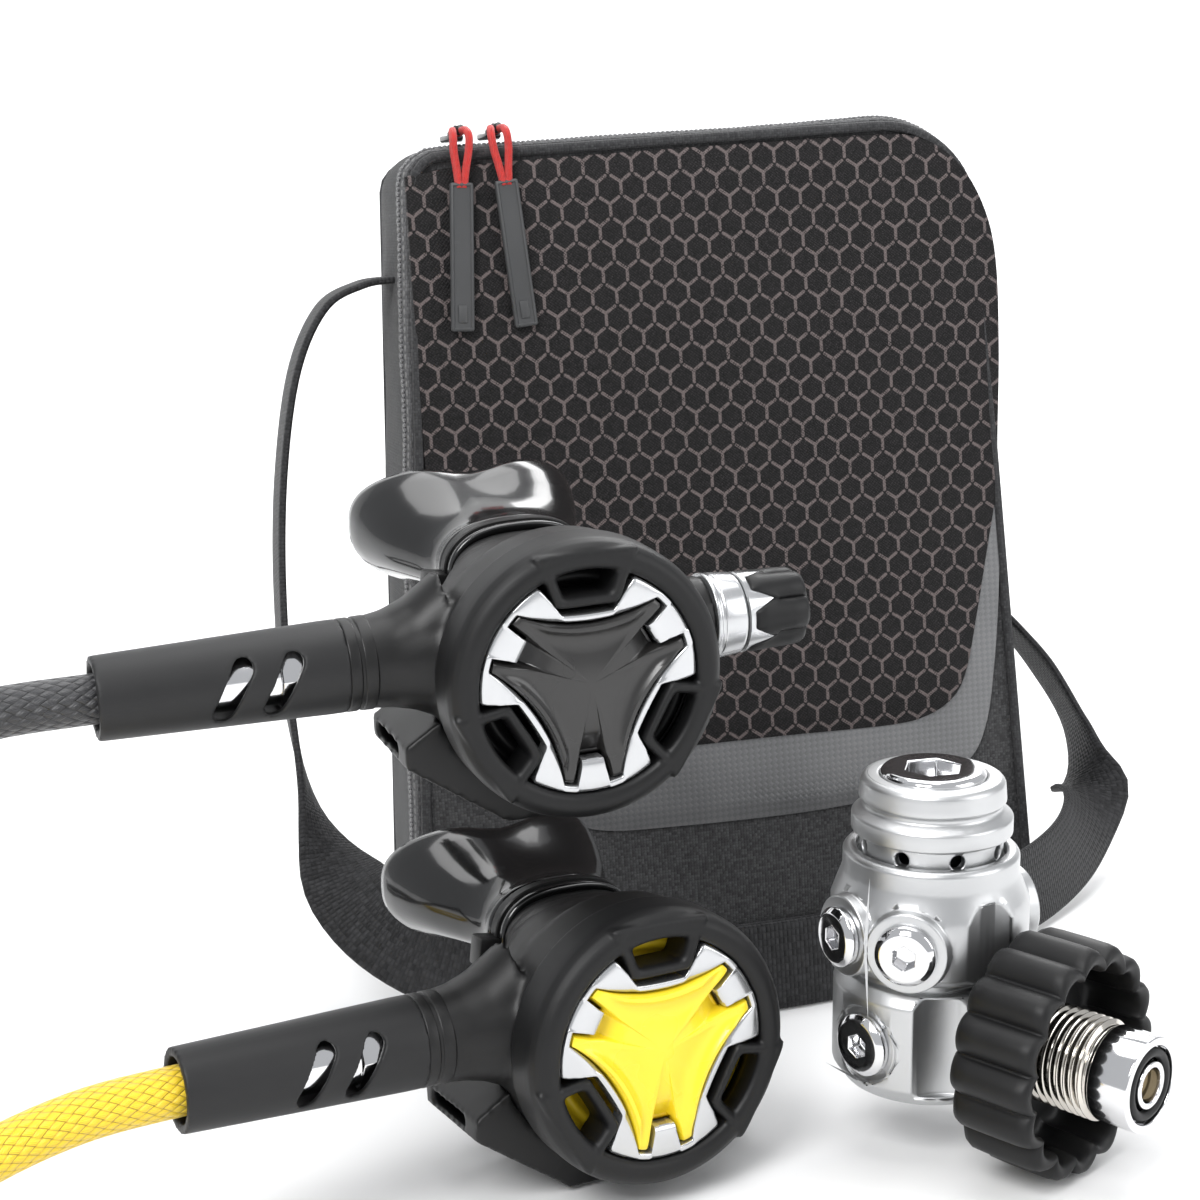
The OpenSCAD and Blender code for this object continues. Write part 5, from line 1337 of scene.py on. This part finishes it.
FINISH = {
    "fs_body": "satin", "fs_cap": "satin", "fs_adjuster": "bright", "fs_main_spring": "steel",
    "fs_diaphragm": "rubber", "fs_poppet": "brass", "fs_poppet_spring": "steel", "fs_chamber_plug": "satin",
    "fs_port_plugs": "bright", "din_bolt": "bright", "din_filter": "sinter", "din_o_ring": "rubber",
    "din_thread": "nickel", "din_handwheel": "rubber",
    "primary_button": "charcoal", "octopus_button": "yellow", "primary_diaphragm": "rubber",
    "octopus_diaphragm": "yellow_rubber", "primary_knob": "rubber",
    "bag_body": "pack_cloth", "bag_front": "lattice", "bag_zip": "tape", "bag_strap": "webbing",
    "primary_hose": "black_braid", "primary_coil": "black_braid", "octopus_hose": "yellow_braid", "octopus_coil": "yellow_braid",
}
for device in ("primary", "octopus"):
    for part, finish in (("case", "plastic"), ("cover", "rubber"), ("trim", "trim"), ("lever", "steel"),
                         ("valve_tube", "satin"), ("poppet", "brass"), ("poppet_spring", "steel"),
                         ("exhaust_valve", "silicone"), ("exhaust_tee", "plastic"), ("mouthpiece", "silicone"),
                         ("mouth_tie", "plastic"), ("swivel_nut", "bright"), ("sleeve", "sleeve"), ("hose_fitting", "bright")):
        FINISH[device + "_" + part] = finish
for node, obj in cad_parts.items():
    finish = FINISH.get(node, "slider" if "slider" in node else "tab")
    obj.data.materials.clear()
    obj.data.materials.append(KIT[finish])


# ---------------------------------------------------------------- floor and light

def studio():
    floor = bmesh.new()
    half, back, rise = 1.6, 0.9, 1.4
    line = [(-half, -2.2, 0), (-half, back - 0.4, 0)]
    line += [(-half, back - 0.4 + 0.4 * math.sin(rad(a)), 0.4 - 0.4 * math.cos(rad(a))) for a in range(15, 91, 15)] + [(-half, back, rise)]
    verts = [floor.verts.new(p) for p in line]
    edges = [floor.edges.new(pair) for pair in zip(verts, verts[1:])]
    made = bmesh.ops.extrude_edge_only(floor, edges=edges)["geom"]
    bmesh.ops.translate(floor, verts=[v for v in made if isinstance(v, bmesh.types.BMVert)], vec=(2 * half, 0, 0))
    mesh = bpy.data.meshes.new("floor")
    floor.to_mesh(mesh)
    floor.free()
    mesh.shade_smooth()
    made, tree, ins = material("Pale floor")
    wire(tree, tint(tree, noise_at(tree, object_at(tree), 3.0), (0.83, 0.83, 0.83), (0.86, 0.86, 0.86)), ins["Base Color"])
    ins["Roughness"].default_value = 0.6
    ins["Specular IOR Level"].default_value = 0.2
    mesh.materials.append(made)
    obj = bpy.data.objects.new("floor", mesh)
    bpy.context.scene.collection.objects.link(obj)
    world = bpy.data.worlds.new("Studio")
    world.use_nodes = True
    world.node_tree.nodes["Background"].inputs[0].default_value = (0.95, 0.97, 1.0, 1)
    world.node_tree.nodes["Background"].inputs[1].default_value = 0.62
    bpy.context.scene.world = world
    aim = Vector((0.0, 0.0, 0.1))
    for name, spot, size, watts in (("key", (-0.7, -0.95, 1.15), 0.7, 19.0), ("fill", (1.1, -0.8, 0.6), 0.9, 7.0),
                                    ("top", (0.1, 0.1, 1.5), 1.2, 14.0), ("rim", (0.5, 0.75, 0.8), 0.5, 5.0)):
        data = bpy.data.lights.new(name, "AREA")
        data.size = size
        data.energy = watts
        lamp = bpy.data.objects.new(name, data)
        lamp.location = spot
        lamp.rotation_euler = (aim - Vector(spot)).to_track_quat("-Z", "Y").to_euler()
        bpy.context.scene.collection.objects.link(lamp)
    bpy.context.scene.view_settings.view_transform = "Standard"


studio()
